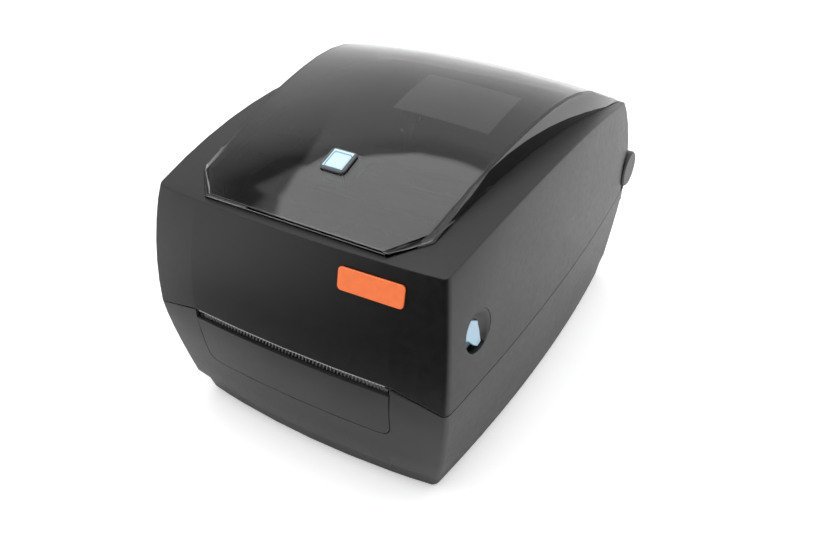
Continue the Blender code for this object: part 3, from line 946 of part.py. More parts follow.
def build_head(steel, aluminium, ceramic, plastic):
    """Sprung print head with its heat sink, and the frame that carries it and the ribbon spindles."""
    low = PLATEN_Z + PLATEN_RADIUS + CLEARANCE
    make_part("printhead", box((-HEAD_HALF, PLATEN_Y - HEAD_DEPTH / 3, low),
                               (HEAD_HALF, PLATEN_Y + HEAD_DEPTH * 2 / 3, low + HEAD_THICKNESS)), ceramic,
              origin=(0.0, HEAD_PIVOT_Y, HEAD_PIVOT_Z))
    seat = low + HEAD_THICKNESS + CLEARANCE
    top = seat + 3.0
    outline = [(PLATEN_Y - 2.0, seat), (HEAD_PIVOT_Y + 5.0, seat), (HEAD_PIVOT_Y + 5.0, HEAD_PIVOT_Z + 4.5),
               (HEAD_PIVOT_Y - 5.0, HEAD_PIVOT_Z + 4.5), (HEAD_PIVOT_Y - 5.0, top)]
    for fin in range(FIN_COUNT):
        y = HEAD_PIVOT_Y - 9.0 - FIN_PITCH * fin
        outline += [(y + across, top + up) for across, up in
                    ((FIN_THICKNESS, 0.0), (FIN_THICKNESS, FIN_HEIGHT), (0.0, FIN_HEIGHT), (0.0, 0.0))]
    outline.append((PLATEN_Y - 2.0, top))
    sink = make_part("head_heatsink", prism(outline, "X", -HEAD_HALF, HEAD_HALF), aluminium,
                     origin=(0.0, HEAD_PIVOT_Y, HEAD_PIVOT_Z))
    head_axis, pin = (HEAD_PIVOT_Y, HEAD_PIVOT_Z), HEAD_PIN_RADIUS
    outer, inner = RIBBON_PLATE_X + RIBBON_PLATE / 2, RIBBON_PLATE_X - RIBBON_PLATE / 2
    cut(sink, rod("X", head_axis, -FAR, FAR, pin + CLEARANCE))
    make_part("head_pin", rod("X", head_axis, -outer - 1.0, outer + 1.0, pin), steel)

    rear_y = SUPPLY_Y + RIBBON_REACH
    plate = [(RIBBON_FRONT_Y, RIBBON_FOOT_Z + 1.5), (HEAD_PIVOT_Y - 8.0, RIBBON_FOOT_Z),
             (HEAD_PIVOT_Y + 12.0, RIBBON_FOOT_Z), (TAKEUP_Y - 6.0, HEAD_PIVOT_Z - 1.0),
             (SUPPLY_Y - 8.0, SUPPLY_Z - RIBBON_REACH), (rear_y, SUPPLY_Z - RIBBON_REACH / 2),
             (rear_y, SUPPLY_Z + RIBBON_REACH / 2), (rear_y - RIBBON_TAPER_REAR, RIBBON_TOP_Z),
             (TAKEUP_Y - RIBBON_TAPER_FRONT, RIBBON_TOP_Z), (RIBBON_FRONT_Y, HEAD_PIVOT_Z + RIBBON_SHOULDER)]
    frame = make_part("ribbon_frame", prism(plate, "X", inner, outer), plastic)
    fuse(frame, prism(plate, "X", -outer, -inner))
    post = RIBBON_POST / 2
    for y, post_x in ((TAKEUP_Y - 3.0, RIBBON_PLATE_X + RIBBON_POST_OUT),
                      (SUPPLY_Y - 5.0, RIBBON_PLATE_X + RIBBON_POST_OUT + RIBBON_POST_SPREAD)):
        fuse(frame, box((-post_x - post - 0.5, y - RIBBON_POST, RIBBON_TOP_Z - 3.0),
                        (post_x + post + 0.5, y + RIBBON_POST, RIBBON_TOP_Z - 0.5)))
        for side in (-1, 1):
            fuse(frame, box((side * post_x - post, y - post, RIBBON_TOP_Z - 2.0),
                            (side * post_x + post, y + post, shoulder_z(y - post) - SHELL_WALL - CLEARANCE)))
    axle = SPINDLE_PIVOT_RADIUS
    for centre, radius in (((SUPPLY_Y, SUPPLY_Z), axle), ((TAKEUP_Y, TAKEUP_Z), axle), (head_axis, pin)):
        cut(frame, rod("X", centre, -FAR, FAR, radius + CLEARANCE))
    for name, centre in (("supply_spindle", (SUPPLY_Y, SUPPLY_Z)), ("takeup_spindle", (TAKEUP_Y, TAKEUP_Z))):
        face = inner - SPINDLE_SIDE_GAP
        half = [(face - SPINDLE_FLANGE, SPINDLE_RADIUS), (face - SPINDLE_FLANGE, SPINDLE_FLANGE_RADIUS),
                (face, SPINDLE_FLANGE_RADIUS), (face, axle), (outer + 1.0, axle)]
        profile = [(-x, r) for x, r in reversed(half)] + half
        make_part(name, turned("X", centre, profile, 20), plastic, origin=(0.0, *centre))


# ---------------------------------------------------------------- assembly
for old in list(bpy.data.objects):
    bpy.data.objects.remove(old, do_unlink=True)
ROOT = bpy.data.objects.new("label_printer", None)
ROOT.location = (0.0, -CENTRE_Y * MM, 0.0)
bpy.context.scene.collection.objects.link(ROOT)

CHARCOAL = finish("charcoal_plastic", (0.020, 0.020, 0.021), 0.55)
BLACK = finish("black_plastic", (0.012, 0.012, 0.013), 0.45)
SMOKE = finish("smoked_acrylic", (0.02, 0.02, 0.022), 0.08, transmission=0.5)
GREY = finish("dark_grey_plastic", (0.10, 0.11, 0.12), 0.35)
BLUE = finish("pale_blue_plastic", (0.42, 0.62, 0.78), 0.35)
ORANGE = finish("orange_plate", (0.75, 0.17, 0.05), 0.35)
WHITE = finish("natural_nylon", (0.75, 0.74, 0.70), 0.45)
STEEL = finish("bright_steel", (0.62, 0.62, 0.63), 0.3, metallic=1.0)
ALUMINIUM = finish("extruded_aluminium", (0.78, 0.78, 0.79), 0.4, metallic=1.0)
CERAMIC = finish("head_ceramic", (0.35, 0.33, 0.30), 0.2)
GREEN = finish("circuit_board", (0.02, 0.16, 0.06), 0.4)
RUBBER = finish("black_rubber", (0.015, 0.015, 0.015), 0.8)
ROCKER = finish("switch_rocker", (0.03, 0.03, 0.03), 0.35)
PAPER = finish("label_paper", (0.78, 0.78, 0.76), 0.6)

build_base(CHARCOAL)
build_floor(CHARCOAL, RUBBER)
build_front(CHARCOAL, STEEL)
build_chassis(STEEL, WHITE)
build_drive(RUBBER, STEEL, WHITE, BLACK)
build_label_path(BLACK, GREY, WHITE)
build_electronics(GREEN, STEEL, BLACK, ROCKER)
build_cover(CHARCOAL)
build_hinge_pins(STEEL)
build_window_fittings(build_window(SMOKE), GREY, BLUE, GREEN, ORANGE)
build_inner_label(PAPER)
build_latch(STEEL, BLACK, BLUE)
build_head(STEEL, ALUMINIUM, CERAMIC, BLACK)
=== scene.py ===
"""Looks of the label printer: materials, fine pieces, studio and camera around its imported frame."""
import json
import math

import bpy
import bmesh
from mathutils import Matrix, Vector
from mathutils.bvhtree import BVHTree

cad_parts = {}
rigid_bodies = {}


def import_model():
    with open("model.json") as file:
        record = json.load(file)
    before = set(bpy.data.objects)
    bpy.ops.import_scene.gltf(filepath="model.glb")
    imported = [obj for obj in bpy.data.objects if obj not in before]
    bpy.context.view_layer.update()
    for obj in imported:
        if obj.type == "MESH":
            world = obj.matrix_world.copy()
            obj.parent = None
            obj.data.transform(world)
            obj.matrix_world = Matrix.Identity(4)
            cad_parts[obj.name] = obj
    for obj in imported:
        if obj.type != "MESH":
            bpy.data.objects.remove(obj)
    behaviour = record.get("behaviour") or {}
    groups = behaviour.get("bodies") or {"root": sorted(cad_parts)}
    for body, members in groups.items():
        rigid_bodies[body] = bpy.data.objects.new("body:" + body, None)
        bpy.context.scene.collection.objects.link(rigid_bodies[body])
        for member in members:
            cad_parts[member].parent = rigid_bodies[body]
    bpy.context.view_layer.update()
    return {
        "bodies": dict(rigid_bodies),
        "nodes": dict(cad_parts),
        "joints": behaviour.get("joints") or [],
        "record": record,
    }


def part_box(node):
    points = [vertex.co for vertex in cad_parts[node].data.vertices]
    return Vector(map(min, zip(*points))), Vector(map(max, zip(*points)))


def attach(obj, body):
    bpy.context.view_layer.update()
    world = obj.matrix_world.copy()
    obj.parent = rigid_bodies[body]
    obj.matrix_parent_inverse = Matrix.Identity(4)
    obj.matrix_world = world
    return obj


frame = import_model()
NODES = frame["nodes"]
MM = 0.001
# Places from which the printer's faces are searched, in mm: outside it, under it, and before its rear walls.
FAR, BELOW, REAR_FROM_Y = 200.0, -20.0, 120.0


# ---------------------------------------------------------------- material tools
class Graph:
    """Small helper that adds nodes to a material or world and links them."""

    def __init__(self, tree):
        self.tree = tree
        tree.nodes.clear()

    def add(self, kind, inputs=(), **settings):
        """Adds a node; an input that is a socket is linked, any other is set."""
        node = self.tree.nodes.new(kind)
        for key, value in settings.items():
            setattr(node, key, value)
        for key, value in dict(inputs).items():
            if isinstance(value, bpy.types.NodeSocket):
                self.tree.links.new(value, node.inputs[key])
            else:
                node.inputs[key].default_value = value
        return node

    def place(self):
        """Coordinates in metres, in the printer's own frame."""
        return self.add("ShaderNodeTexCoord").outputs["Object"]

    def noise(self, scale, detail=2.0, place=None, stretch=None):
        """Cloudy values from 0 to 1."""
        vector = place or self.place()
        if stretch:
            vector = self.add("ShaderNodeMapping", {"Vector": vector, "Scale": stretch}).outputs["Vector"]
        made = self.add("ShaderNodeTexNoise", {"Vector": vector, "Scale": scale, "Detail": detail})
        return made.outputs["Fac"]

    def ramp(self, factor, low, high, to_low=0.0, to_high=1.0):
        """Straight line from `to_low` at `low` to `to_high` at `high`, level beyond them."""
        return self.add("ShaderNodeMapRange", {"Value": factor, "From Min": low, "From Max": high,
                                               "To Min": to_low, "To Max": to_high}).outputs["Result"]

    def mix(self, factor, first, second):
        """The first colour at 0 and the second at 1."""
        node = self.add("ShaderNodeMix", data_type="RGBA")
        for socket, value in ((node.inputs[0], factor), (node.inputs[6], first), (node.inputs[7], second)):
            if isinstance(value, bpy.types.NodeSocket):
                self.tree.links.new(value, socket)
            else:
                socket.default_value = value if isinstance(value, float) else (*value, 1.0)
        return node.outputs[2]

    def math(self, operation, first, second=0.0):
        """One operation on sockets or numbers."""
        node = self.add("ShaderNodeMath", operation=operation)
        for socket, value in zip(node.inputs, (first, second)):
            if isinstance(value, bpy.types.NodeSocket):
                self.tree.links.new(value, socket)
            else:
                socket.default_value = value
        return node.outputs[0]

    def surface(self, inputs, **values):
        """The material's surface, from linked inputs and plain values."""
        shader = self.add("ShaderNodeBsdfPrincipled", inputs)
        for key, value in values.items():
            shader.inputs[key.replace("_", " ")].default_value = value
        self.add("ShaderNodeOutputMaterial", {"Surface": shader.outputs[0]})


def material(name):
    """New material and the graph to fill."""
    made = bpy.data.materials.new(name)
    made.use_nodes = True
    return made, Graph(made.node_tree)


# Noise scales are per metre, so 1000 / scale is the size of a patch in mm.
CLOUD_SCALE, DUST_SCALE, STAIN_SCALE = 14.0, 260.0, 45.0
BRUSH_SCALE, BRUSH_STRETCH = 900.0, (1.0 / 60.0, 1.0, 1.0)
SHEEN_SPREAD, BRUSH_SPREAD = 0.03, 0.07
BEVEL_SAMPLES, METAL_EDGE = 6, 0.15


def moulded(name, colour, roughness, grain=0.35, depth=0.03, variation=0.25, edge=0.4, inlay=None):
    """Moulded plastic: spark-eroded grain `grain` mm across, uneven sheen and softly rounded edges.

    An inlay of a second colour fills a square around a place of the printer's top, both in mm.
    """
    made, g = material(name)
    place = g.place()
    cloud = g.noise(CLOUD_SCALE, 4.0, place)
    dust = g.noise(DUST_SCALE, 3.0, place)
    tint = g.mix(g.ramp(dust, 0.35, 0.65), tuple(c * (1 - variation / 2) for c in colour),
                 tuple(min(c * (1 + variation / 2), 1.0) for c in colour))
    if inlay:
        second, centre, half = inlay
        middle = Vector((*centre, 0.0)) * MM
        apart = g.add("ShaderNodeVectorMath", {0: place, 1: middle}, operation="SUBTRACT")
        axes = g.add("ShaderNodeSeparateXYZ", {"Vector": apart.outputs["Vector"]}).outputs
        widest = g.math("MAXIMUM", g.math("ABSOLUTE", axes["X"]), g.math("ABSOLUTE", axes["Y"]))
        tint = g.mix(g.math("LESS_THAN", widest, half * MM), tint, second)
    sheen = g.math("ADD", g.ramp(cloud, 0.3, 0.7, roughness - SHEEN_SPREAD, roughness + SHEEN_SPREAD),
                   g.ramp(dust, 0.3, 0.7, -SHEEN_SPREAD, SHEEN_SPREAD))
    rounded = g.add("ShaderNodeBevel", {"Radius": edge * MM}, samples=BEVEL_SAMPLES).outputs["Normal"]
    fine = g.noise(1.0 / (grain * MM), 2.0, place)
    bump = g.add("ShaderNodeBump",
                 {"Height": fine, "Strength": 0.35, "Distance": depth * MM, "Normal": rounded})
    g.surface({"Base Color": tint, "Roughness": sheen, "Normal": bump.outputs["Normal"]})
    return made


def metal(name, colour, roughness):
    """Metal with fine roll lines along X and faint stains."""
    made, g = material(name)
    place = g.place()
    lines = g.noise(BRUSH_SCALE, 2.0, place, stretch=BRUSH_STRETCH)
    cloud = g.noise(STAIN_SCALE, 3.0, place)
    tint = g.mix(g.ramp(cloud, 0.3, 0.7), tuple(c * 0.88 for c in colour), colour)
    sheen = g.math("ADD", g.ramp(lines, 0.3, 0.7, roughness - BRUSH_SPREAD, roughness + BRUSH_SPREAD),
                   g.ramp(cloud, 0.3, 0.7, -SHEEN_SPREAD, SHEEN_SPREAD))
    rounded = g.add("ShaderNodeBevel", {"Radius": METAL_EDGE * MM}, samples=BEVEL_SAMPLES).outputs["Normal"]
    bump = g.add("ShaderNodeBump",
                 {"Height": lines, "Strength": 0.25, "Distance": 0.02 * MM, "Normal": rounded})
    g.surface({"Base Color": tint, "Roughness": sheen, "Normal": bump.outputs["Normal"]}, Metallic=1.0)
    return made


WIPE_SCALE, WIPE_STRETCH, WAVE_SCALE = 30.0, (1.0, 0.25, 1.0), 9.0
# Painted shade: the window's faces that turn down at the sides are coloured nearly black according to the way
# they face.
SIDE_FROM, SIDE_TO, SIDE_PAINTED_SHADE = 0.86, 0.95, (0.004, 0.004, 0.004)   # share of X in the face's direction


def smoked(name, colour):
    """Polished see-through plastic with faint wipe marks, and painted shade: nearly black and opaque where it
    turns down at the sides.
    """
    made, g = material(name)
    place = g.place()
    wipe = g.noise(WIPE_SCALE, 4.0, place, stretch=WIPE_STRETCH)
    waves = g.noise(WAVE_SCALE, 1.0, place)
    bump = g.add("ShaderNodeBump", {"Height": waves, "Strength": 0.06, "Distance": 0.25 * MM})
    facing = g.add("ShaderNodeSeparateXYZ", {"Vector": g.add("ShaderNodeNewGeometry").outputs["Normal"]})
    sideways = g.math("ABSOLUTE", facing.outputs["X"])
    clear = g.mix(g.ramp(wipe, 0.3, 0.8), colour, tuple(c * 0.9 for c in colour))
    # painted shade on the sides, chosen by the face's direction
    g.surface({"Base Color": g.mix(g.ramp(sideways, SIDE_FROM, SIDE_TO), clear, SIDE_PAINTED_SHADE),
               "Roughness": g.ramp(wipe, 0.3, 0.8, 0.01, 0.025), "Normal": bump.outputs["Normal"]},
              IOR=1.58, Transmission_Weight=1.0, Specular_IOR_Level=0.5)
    return made


TRACE_SCALES, TRACE_PATCH_SCALE, FIBRE_SCALE = {"X": 190.0, "Y": 150.0}, 70.0, 1800.0


def circuit(name, mask, copper):
    """Solder mask over traces that run in two directions."""
    made, g = material(name)
    place = g.place()
    along, across = (g.add("ShaderNodeTexWave", {"Vector": place, "Scale": scale, "Distortion": 0.0},
                           bands_direction=way).outputs["Fac"] for way, scale in TRACE_SCALES.items())
    patch = g.ramp(g.noise(TRACE_PATCH_SCALE, 0.0, place), 0.48, 0.52)
    lines = g.mix(patch, g.mix(g.ramp(along, 0.75, 0.8), mask, copper),
                  g.mix(g.ramp(across, 0.75, 0.8), mask, copper))
    bump = g.add("ShaderNodeBump", {"Height": along, "Strength": 0.2, "Distance": 0.03 * MM})
    g.surface({"Base Color": lines, "Normal": bump.outputs["Normal"]}, Roughness=0.32, Coat_Weight=0.4,
              Coat_Roughness=0.15)
    return made


def paper(name, colour):
    """Blank label paper with faint fibres."""
    made, g = material(name)
    fibre = g.noise(FIBRE_SCALE, 3.0, stretch=(1.0, 0.3, 1.0))
    bump = g.add("ShaderNodeBump", {"Height": fibre, "Strength": 0.2, "Distance": 0.02 * MM})
    g.surface({"Base Color": g.mix(g.ramp(fibre, 0.3, 0.7), tuple(c * 0.94 for c in colour), colour),
               "Normal": bump.outputs["Normal"]}, Roughness=0.55)
    return made


# ---------------------------------------------------------------- materials
BEZEL_COLOUR, KEY_COLOUR = (0.075, 0.085, 0.095), (0.60, 0.80, 0.93)
KEY_PLACE, KEY_INLAY_HALF = (0.0, -90.5), 6.3       # the feed button's place, and the blue on its bezel
CHARCOAL = moulded("charcoal_texture", (0.0070, 0.0070, 0.0066), 0.43, grain=0.45, depth=0.05, edge=0.7)
BASE_TONE = moulded("base_texture", (0.020, 0.020, 0.0195), 0.45, grain=0.45, depth=0.05, edge=0.7)
INNER_BLACK = moulded("inner_black", (0.024, 0.024, 0.025), 0.5, grain=0.6, depth=0.02)
BEZEL_GREY = moulded("bezel_grey", BEZEL_COLOUR, 0.3, grain=0.25, depth=0.015, edge=0.35)
PALE_BLUE = moulded("pale_blue", KEY_COLOUR, 0.38, grain=0.25, depth=0.015, variation=0.06, edge=0.5)
BUTTON_RIM = moulded("button_rim", BEZEL_COLOUR, 0.3, grain=0.25, depth=0.015, edge=0.35,
                     inlay=(KEY_COLOUR, KEY_PLACE, KEY_INLAY_HALF))
ORANGE = moulded("orange_face", (0.85, 0.175, 0.045), 0.36, grain=0.3, depth=0.02, variation=0.08, edge=0.3)
NYLON = moulded("natural_nylon_gear", (0.74, 0.72, 0.66), 0.42, grain=0.3, depth=0.02, variation=0.08,
                edge=0.2)
SLOT_PLASTIC = moulded("slot_plastic", (0.16, 0.16, 0.165), 0.45, grain=0.4, depth=0.03, edge=0.2)
TEETH_STEEL = moulded("stamped_steel_edge", (0.42, 0.42, 0.43), 0.35, grain=0.2, depth=0.01,
                      variation=0.1, edge=0.1)
LATCH_BLUE = moulded("latch_blue", (0.37, 0.53, 0.64), 0.38, grain=0.25, depth=0.015, variation=0.06,
                     edge=0.5)
MARK_WHITE = moulded("switch_marks", (0.72, 0.72, 0.70), 0.45, grain=0.2, depth=0.01, variation=0.05,
                     edge=0.1)
RUBBER = moulded("soft_rubber", (0.022, 0.022, 0.022), 0.75, grain=0.2, depth=0.04, variation=0.2, edge=0.4)
GLAZE = moulded("head_glaze", (0.16, 0.12, 0.09), 0.18, grain=0.2, depth=0.01, variation=0.15, edge=0.15)
STEEL = metal("rolled_steel", (0.60, 0.60, 0.61), 0.32)
ALUMINIUM = metal("extruded_fins", (0.77, 0.77, 0.78), 0.38)
WINDOW_SMOKE = smoked("smoked_window", (0.30, 0.30, 0.305))
BOARD = circuit("solder_mask", (0.010, 0.105, 0.035), (0.05, 0.22, 0.09))
PAPER = paper("blank_label", (0.74, 0.74, 0.72))

LOOKS = {
    "charcoal_plastic": CHARCOAL, "black_plastic": INNER_BLACK, "smoked_acrylic": WINDOW_SMOKE,
    "dark_grey_plastic": BEZEL_GREY, "pale_blue_plastic": PALE_BLUE, "orange_plate": ORANGE,
    "natural_nylon": NYLON, "bright_steel": STEEL, "extruded_aluminium": ALUMINIUM, "head_ceramic": GLAZE,
    "circuit_board": BOARD, "black_rubber": RUBBER, "switch_rocker": INNER_BLACK, "label_paper": PAPER,
}
NODE_LOOKS = {
    "base_housing": BASE_TONE, "front_panel": BASE_TONE, "bottom_plate": BASE_TONE,
    "latch_tab_left": LATCH_BLUE, "latch_tab_right": LATCH_BLUE, "button_bezel": BUTTON_RIM,
}
SLOTS = {part["node"]: part["material_slot"] for part in frame["record"]["subparts"]}
for node, item in NODES.items():
    item.data.materials.clear()
    item.data.materials.append(NODE_LOOKS.get(node, LOOKS[SLOTS[node]]))


# ---------------------------------------------------------------- smooth shading
SHARP_ANGLE = math.radians(32.0)
JOIN_DISTANCE = 0.001 * MM


def shading_tree():
    """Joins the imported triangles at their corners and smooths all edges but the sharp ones."""
    tree = bpy.data.node_groups.new("smooth_by_angle", "GeometryNodeTree")
    for side in ("INPUT", "OUTPUT"):
        tree.interface.new_socket("Geometry", in_out=side, socket_type="NodeSocketGeometry")
    g = Graph(tree)
    source = g.add("NodeGroupInput")
    plain = g.add("GeometryNodeRemoveAttribute", {"Geometry": source.outputs[0], "Name": "custom_normal"})
    joined = g.add("GeometryNodeMergeByDistance", {"Geometry": plain.outputs[0], "Distance": JOIN_DISTANCE})
    angle = g.add("GeometryNodeInputMeshEdgeAngle").outputs["Unsigned Angle"]
    smooth_edge = g.add("FunctionNodeCompare", {0: angle, 1: SHARP_ANGLE}, operation="LESS_EQUAL")
    edges = g.add("GeometryNodeSetShadeSmooth",
                  {"Geometry": joined.outputs[0], "Shade Smooth": smooth_edge.outputs[0]}, domain="EDGE")
    faces = g.add("GeometryNodeSetShadeSmooth", {"Geometry": edges.outputs[0], "Shade Smooth": True},
                  domain="FACE")
    g.add("NodeGroupOutput", {"Geometry": faces.outputs[0]})
    return tree


def smooth(item, tree):
    """Rounded stretches shade smooth, while a large flat face beside a fillet stays flat."""
    item.modifiers.new("smooth_by_angle", "NODES").node_group = tree
    weighted = item.modifiers.new("weighted_normals", "WEIGHTED_NORMAL")
    weighted.keep_sharp = True


SMOOTH_BY_ANGLE = shading_tree()
for item in NODES.values():
    smooth(item, SMOOTH_BY_ANGLE)


# ---------------------------------------------------------------- piece tools
def skin_of(node):
    """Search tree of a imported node's own surface."""
    mesh = NODES[node].data
    return BVHTree.FromPolygons([v.co for v in mesh.vertices], [tuple(f.vertices) for f in mesh.polygons])


def first_hit(tree, start, towards):
    """First point, in millimetres, of a node's surface from `start` along `towards`."""
    found = tree.ray_cast(Vector(start) * MM, Vector(towards))[0]
    return found / MM


def loft(bm, rings, frame=Matrix(), closed=False):
    """Skin over rings of points in millimetres, fanned shut at both ends or closed to a loop of rings."""
    rows = [[bm.verts.new(frame @ (Vector(p) * MM)) for p in ring] for ring in rings]
    count = len(rows[0])
    pairs = list(zip(rows, rows[1:])) + ([(rows[-1], rows[0])] if closed else [])
    for low, high in pairs:
        for i in range(count):
            bm.faces.new((low[i], low[(i + 1) % count], high[(i + 1) % count], high[i]))
    if closed:
        return
    for row, turn in ((rows[0], -1), (rows[-1], 1)):
        centre = bm.verts.new(sum((v.co for v in row), Vector()) / count)
        for i in range(count):
            pair = (row[i], row[(i + 1) % count])
            bm.faces.new((*pair[::turn], centre))


def ring_of(radius, height, count):
    """Circle of points around the Z axis."""
    return [(radius * math.cos(a), radius * math.sin(a), height)
            for a in (math.tau * i / count for i in range(count))]


AXIS_RADIUS = 0.01              # stands in for a radius of nought, where points would meet


def lathe(bm, profile, frame, count):
    """Turned body from (radius, height) pairs around the frame's Z axis."""
    loft(bm, [ring_of(max(radius, AXIS_RADIUS), height, count) for radius, height in profile], frame)


def block(bm, low, high, edge=0.3, frame=Matrix()):
    """Box with chamfered edges."""
    (x0, y0, z0), (x1, y1, z1) = low, high

    def ring(inset, z):
        a, b, c, d = x0 + inset, x1 - inset, y0 + inset, y1 - inset
        return [(a + edge, c, z), (b - edge, c, z), (b, c + edge, z), (b, d - edge, z), (b - edge, d, z),
                (a + edge, d, z), (a, d - edge, z), (a, c + edge, z)]
    loft(bm, [ring(edge, z0), ring(0.0, z0 + edge), ring(0.0, z1 - edge), ring(edge, z1)], frame)


def tube(bm, path, radius, count):
    """Round wire along a path in millimetres."""
    points = [Vector(p) for p in path]
    rings, side = [], None
    for i, point in enumerate(points):
        ahead = (points[min(i + 1, len(points) - 1)] - points[max(i - 1, 0)]).normalized()
        if side is None:
            side = ahead.orthogonal().normalized()
        side = (side - ahead * side.dot(ahead)).normalized()
        other = ahead.cross(side)
        rings.append([point + radius * (math.cos(a) * side + math.sin(a) * other)
                      for a in (math.tau * k / count for k in range(count))])
    loft(bm, rings)


def piece(name, body, bm, look):
    """Makes the mesh an object that rides on a body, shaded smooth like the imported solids."""
    bmesh.ops.recalc_face_normals(bm, faces=bm.faces)
    mesh = bpy.data.meshes.new(name)
    bm.to_mesh(mesh)
    bm.free()
    made = bpy.data.objects.new(name, mesh)
    bpy.context.scene.collection.objects.link(made)
    mesh.materials.append(look)
    smooth(made, SMOOTH_BY_ANGLE)
    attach(made, body)


def screw(bm, frame, radius, height):
    """Pan head with a cross recess, seated on the frame's XY plane."""
    reach, half = 0.56 * radius, 0.13 * radius
    corner = math.degrees(math.atan2(half, reach))
    offsets = (0.0, corner, (corner + 45.0) / 2, 45.0, 90.0 - (corner + 45.0) / 2, 90.0 - corner)
    turns = [math.radians(quarter * 90.0 + offset) for quarter in range(4) for offset in offsets]

    def disc(share, z):
        return [(share * radius * math.cos(t), share * radius * math.sin(t), z) for t in turns]

    def cross(share, z):
        ring = []
        for turn in turns:
            near = abs((turn + math.pi / 4) % (math.pi / 2) - math.pi / 4)
            far = reach / math.cos(near) if math.degrees(near) < corner + 0.01 else half / math.sin(near)
            ring.append((share * far * math.cos(turn), share * far * math.sin(turn), z))
        return ring
    loft(bm, [disc(0.97, 0.0), disc(1.0, 0.15 * height), disc(0.97, 0.45 * height), disc(0.86, 0.8 * height),
              disc(0.66, height), cross(1.0, 0.98 * height), cross(0.7, 0.3 * height)], frame)


def seat(place, towards):
    """Frame in metres whose origin is a place in millimetres and whose Z axis is `towards`."""
    turned = Vector(towards).to_track_quat("Z", "Y").to_matrix().to_4x4()
    return Matrix.Translation(Vector(place) * MM) @ turned


COIL_FLAT = 0.75                # turns at each end of a spring that lie closed
COIL_STEPS, WIRE_SIDES = 14, 7  # steps of one turn, sides of its wire


def coil(bm, start, end, radius, wire, turns):
    """Compression spring between two places, with its end turns closed up."""
    axis = Vector(end) - Vector(start)
    length = axis.length
    frame = axis.to_track_quat("Z", "Y").to_matrix()
    steps = int(turns * COIL_STEPS)
    path = []
    for i in range(steps + 1):
        turn = turns * i / steps
        inner = min(max((turn - COIL_FLAT) / (turns - 2 * COIL_FLAT), 0.0), 1.0)
        height = wire + (length - 2 * wire) * inner
        local = Vector((radius * math.cos(math.tau * turn), radius * math.sin(math.tau * turn), height))
        path.append(Vector(start) + frame @ local)
    tube(bm, path, wire, WIRE_SIDES)


# ---------------------------------------------------------------- label slot
SLOT_HALF = 63.2
SLOT_EDGE_Z = 84.0              # the cover's lower edge over the slot
TEETH_PITCH, TEETH_ROOT, TEETH_TIP, TEETH_THICK, TEETH_BACK = 2.0, 83.35, 82.85, 0.5, 0.35
TEETH_SLANT, TEETH_GAP = 0.15, 0.02
COMB_PITCH, COMB_RIB, COMB_LOW, COMB_HIGH = 2.3, 0.8, 66.5, 79.2
COMB_BACK_Y, COMB_BACK_THICK = -143.93, 0.35        # just in front of the tear bar
COMB_GAP = 0.15                 # from the front panel to the ribs
COMB_FROM = (-130.0, 75.0)      # (y, z) behind the front panel, from which its face is searched
COMB_RAKE = ((0.0, 0.0), (9.5, 0.0), (11.3, 0.35), (12.7, 0.75))    # height on a rib, share it leans back


def build_tear_teeth():
    """Thin serrated steel edge under the cover's lip, bowed like the cover's front."""
    cover = skin_of("top_cover")
    bm = bmesh.new()
    count = int(2 * SLOT_HALF / TEETH_PITCH)
    rings = []
    for i in range(2 * count + 1):
        x = -SLOT_HALF + SLOT_HALF * i / count
        y = first_hit(cover, (x, -FAR, SLOT_EDGE_Z + 0.4), (0.0, 1.0, 0.0)).y + TEETH_BACK
        low, high = TEETH_TIP if i % 2 else TEETH_ROOT, SLOT_EDGE_Z - TEETH_GAP
        rings.append([(x, y, high), (x, y, low), (x, y + TEETH_THICK, low + TEETH_SLANT),
                      (x, y + TEETH_THICK, high)])
    loft(bm, rings)
    piece("tear_teeth", "cover", bm, TEETH_STEEL)


def build_slot_comb():
    """Ribbed strip between the front panel and the tear bar, seen through the slot."""
    panel = skin_of("front_panel")
    bm = bmesh.new()
    block(bm, (-SLOT_HALF, COMB_BACK_Y - COMB_BACK_THICK, COMB_LOW), (SLOT_HALF, COMB_BACK_Y, COMB_HIGH), 0.1)
    count, rear = int(SLOT_HALF / COMB_PITCH), COMB_BACK_Y - COMB_BACK_THICK + 0.05
    for i in range(-count, count + 1):
        left, right = i * COMB_PITCH - COMB_RIB / 2, i * COMB_PITCH + COMB_RIB / 2
        front = first_hit(panel, (i * COMB_PITCH, *COMB_FROM), (0.0, -1.0, 0.0)).y + COMB_GAP
        rings = []
        for height, rake in COMB_RAKE:
            y, z = front + rake * (COMB_BACK_Y - front), COMB_LOW + height
            rings.append([(left, rear, z), (left, y, z), (right, y, z), (right, rear, z)])
        loft(bm, rings)
    piece("slot_comb", "base", bm, SLOT_PLASTIC)


build_tear_teeth()
build_slot_comb()


# ---------------------------------------------------------------- latch recess
RECESS_Y, RECESS_Z, RECESS_RADIUS = -114.8, 112.0, 12.2
LATCH_AXIS_Z, LATCH_SWING = 139.0, math.radians(6.0)
PAD_FACE, PAD_FOOT_X, PAD_BEVEL = 1.6, 92.9, 0.55       # depth of the pad's face, and where it meets the tab
PAD_GAP, PAD_ARC_STEPS = 0.45, 6
DISH_DEPTH, DISH_RIM, DISH_THICK, DISH_GAP = 2.7, 0.12, 0.5, 0.45
DISH_FULL = 6.0                 # width from which the dish has its full depth
DISH_STATIONS, DISH_STEPS = 28, 7
# The pad's edge (y, z) seen from the right side: its low end, then its rear edge upwards, then its top.
PAD_LOW = ((-121.9, 109.5), (-116.6, 103.4), (-113.2, 100.8))
PAD_REAR = ((-109.6, 101.9), (-110.5, 106.2), (-111.0, 109.7), (-111.9, 113.4), (-112.5, 116.3))
PAD_TOP = (-119.4, 120.7)
PAD_ARC = (141.0, 186.0)        # degrees around the recess where the pad's front follows it
DISH_END = (-122.2, 121.0)
DISH_ARC = (-60.0, 130.0)


